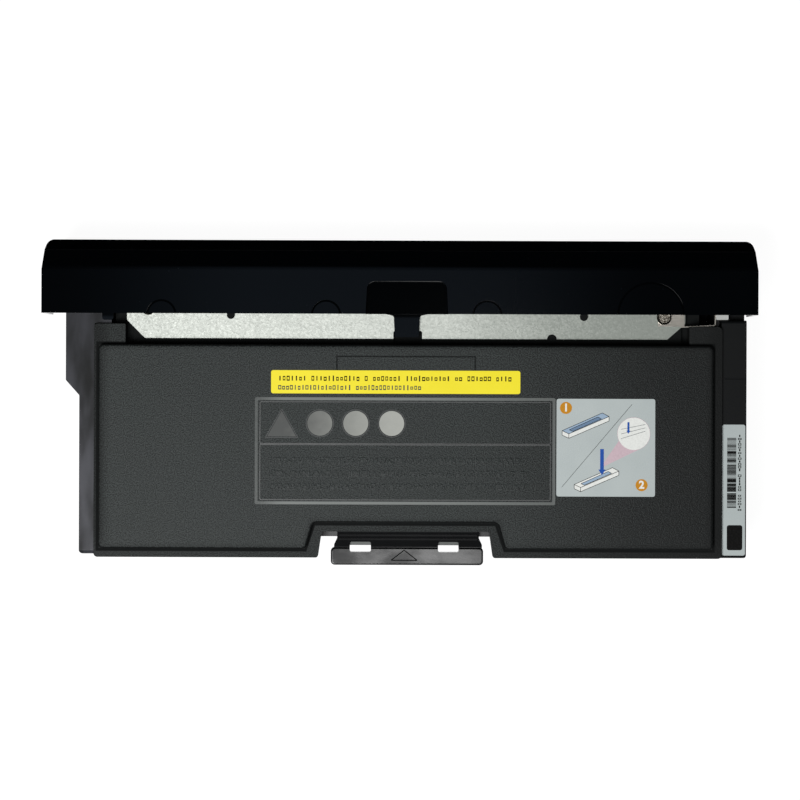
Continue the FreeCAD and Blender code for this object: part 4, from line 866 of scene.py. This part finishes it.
# Painted shade: the floors of the mark grooves are kept black, without the painted sheen.
mark_groove_painted_shade = cover_z.between(cover_top - 0.0005, cover_top - 0.0001, 0.00005) * before_marks_end
# Painted highlight: the tongue, behind the cover's rear edge, is coloured lighter as a lit edge.
tongue_painted_highlight = cover_y.ramp(COVER_TONGUE_FRONT, COVER_TONGUE_REAR)
# The colour: painted sheen and highlight with real dust specks, and none in the mark grooves.
cover_dust_and_painted_sheen = ((flat_top * (cover_painted_sheen_spread * 0.085 + 0.012) + tongue_painted_highlight * 0.11 + cover_dust * 0.1)
              * (1 - mark_groove_painted_shade))
cover_gloss.wear(
    Base_Color=cover_gloss.blend(cover_dust_and_painted_sheen, ink(2, 3, 4), ink(60, 68, 78)),
    Roughness=cover_waves * 0.04 + 0.06,
    Normal=cover_gloss.relief(cover_waves, 0.00008),
    Specular_IOR_Level=0.2,
)
dress(cover_gloss, "protective_cover")

# Studio: a white table that keeps a soft shadow, inside a dark tent that only reflections can see.
# A soft lamp hangs high on the left with a weak one at the right, and a panel overhead gives the polished
# parts their shine. A dark cloth lies before the cartridge, for reflections only.


def seen_share(board):
    """1 for rays from the camera, a mirror or glass, which see the plain white."""
    path = board.node("ShaderNodeLightPath")
    return path.out("Is Camera Ray") + path.out("Is Glossy Ray") + path.out("Is Transmission Ray")


def card(name, corners, faces, material):
    """A stage piece made of flat faces."""
    mesh = bpy.data.meshes.new(name)
    mesh.from_pydata(corners, [], faces)
    mesh.materials.append(material)
    piece = new_object(name, mesh)
    return piece


table_finish = Finish("white_table")
table_tone = table_finish.noise(0.4, 2.0)
table_finish.wear(
    Base_Color=table_finish.blend(table_tone, (0.8, 0.8, 0.8, 1.0), (0.82, 0.82, 0.82, 1.0)),
    Roughness=0.9,
    Specular_IOR_Level=0.0,
)
glow = table_finish.node("ShaderNodeEmission", None, {"Color": (1.0, 1.0, 1.0, 1.0), "Strength": 0.95})
shade = table_finish.node("ShaderNodeBsdfDiffuse", None, {"Color": (0.14, 0.14, 0.14, 1.0)})
seen_table = table_finish.node("ShaderNodeAddShader", None, {0: glow, 1: shade})
lit_table = Reading(table_finish, table_finish.shader.outputs["BSDF"])
table_sockets = {0: seen_share(table_finish), 1: lit_table, 2: seen_table}
table_surface = table_finish.node("ShaderNodeMixShader", None, table_sockets)
table_finish.feed(table_finish.tree.nodes["Material Output"].inputs["Surface"], table_surface)
SQUARE = ((-1, -1), (1, -1), (1, 1), (-1, 1))
TABLE_HALF = 4
TABLE_TOP = -0.0002
table_corners = [(x * TABLE_HALF, y * TABLE_HALF, TABLE_TOP) for x, y in SQUARE]
card("table", table_corners, [(0, 1, 2, 3)], table_finish.material)

tent_cloth = Finish("tent_cloth")
tent_cloth.wear(Base_Color=(0.001, 0.001, 0.001, 1.0), Roughness=1.0, Specular_IOR_Level=0.0)
TENT_HALF = 0.9
TENT_TOP = 1.7
tent_floor = [(x * TENT_HALF, y * TENT_HALF, 0.002) for x, y in SQUARE]
tent_roof = [(x, y, TENT_TOP) for x, y, z in tent_floor]
tent_sides = [(k, (k + 1) % 4, 4 + (k + 1) % 4, 4 + k) for k in range(4)]
tent = card("dark_tent", tent_floor + tent_roof, tent_sides + [(4, 5, 6, 7)], tent_cloth.material)
front_edges = [(-0.6, 0.08, 0.0004), (0.6, 0.08, 0.0004), (0.6, 0.5, 0.0004), (-0.6, 0.5, 0.0004)]
front_cloth = card("front_cloth", front_edges, [(0, 1, 2, 3)], tent_cloth.material)
for piece in (tent, front_cloth):
    piece.visible_camera = False
    piece.visible_diffuse = False
    piece.visible_shadow = False
    piece.visible_transmission = False


def lamp(name, place, aim, size, power):
    light = bpy.data.lights.new(name, "AREA")
    light.shape = "RECTANGLE"
    light.size = size[0]
    light.size_y = size[1]
    light.energy = power
    holder = new_object(name, light)
    holder.location = place
    holder.rotation_euler = (Vector(aim) - Vector(place)).to_track_quat("-Z", "Y").to_euler()


lamp("left_softbox", place=(-0.24, -0.30, 1.04), aim=(0.0, 0.0, 0.05), size=(0.4, 0.3), power=10.0)
lamp("right_fill", place=(0.5, -0.3, 1.0), aim=(0.0, 0.0, 0.05), size=(0.4, 0.4), power=0.4)
lamp("overhead_panel", place=(0.055, -0.1, 1.3), aim=(0.02, -0.04, 0.05), size=(0.25, 0.2), power=1.2)

world = bpy.data.worlds.new("white_walls")
world.use_nodes = True
bpy.context.scene.world = world
walls = Board(world.node_tree)
background = world.node_tree.nodes["Background"]
walls.feed(background.inputs["Color"], (1.0, 1.0, 1.0, 1.0))
walls.feed(background.inputs["Strength"], seen_share(walls) * 0.93 + 0.07)

camera_data = bpy.data.cameras.new("camera")
camera_data.lens = 100.0
camera_data.sensor_width = 36.0
camera_data.clip_start = 0.01
camera = new_object("camera", camera_data)
camera.location = (0.0002, 0.0010, 1.0520)
camera.rotation_euler = (0.0, 0.0, math.radians(0.2))
bpy.context.scene.camera = camera
bpy.context.scene.view_settings.view_transform = "Standard"
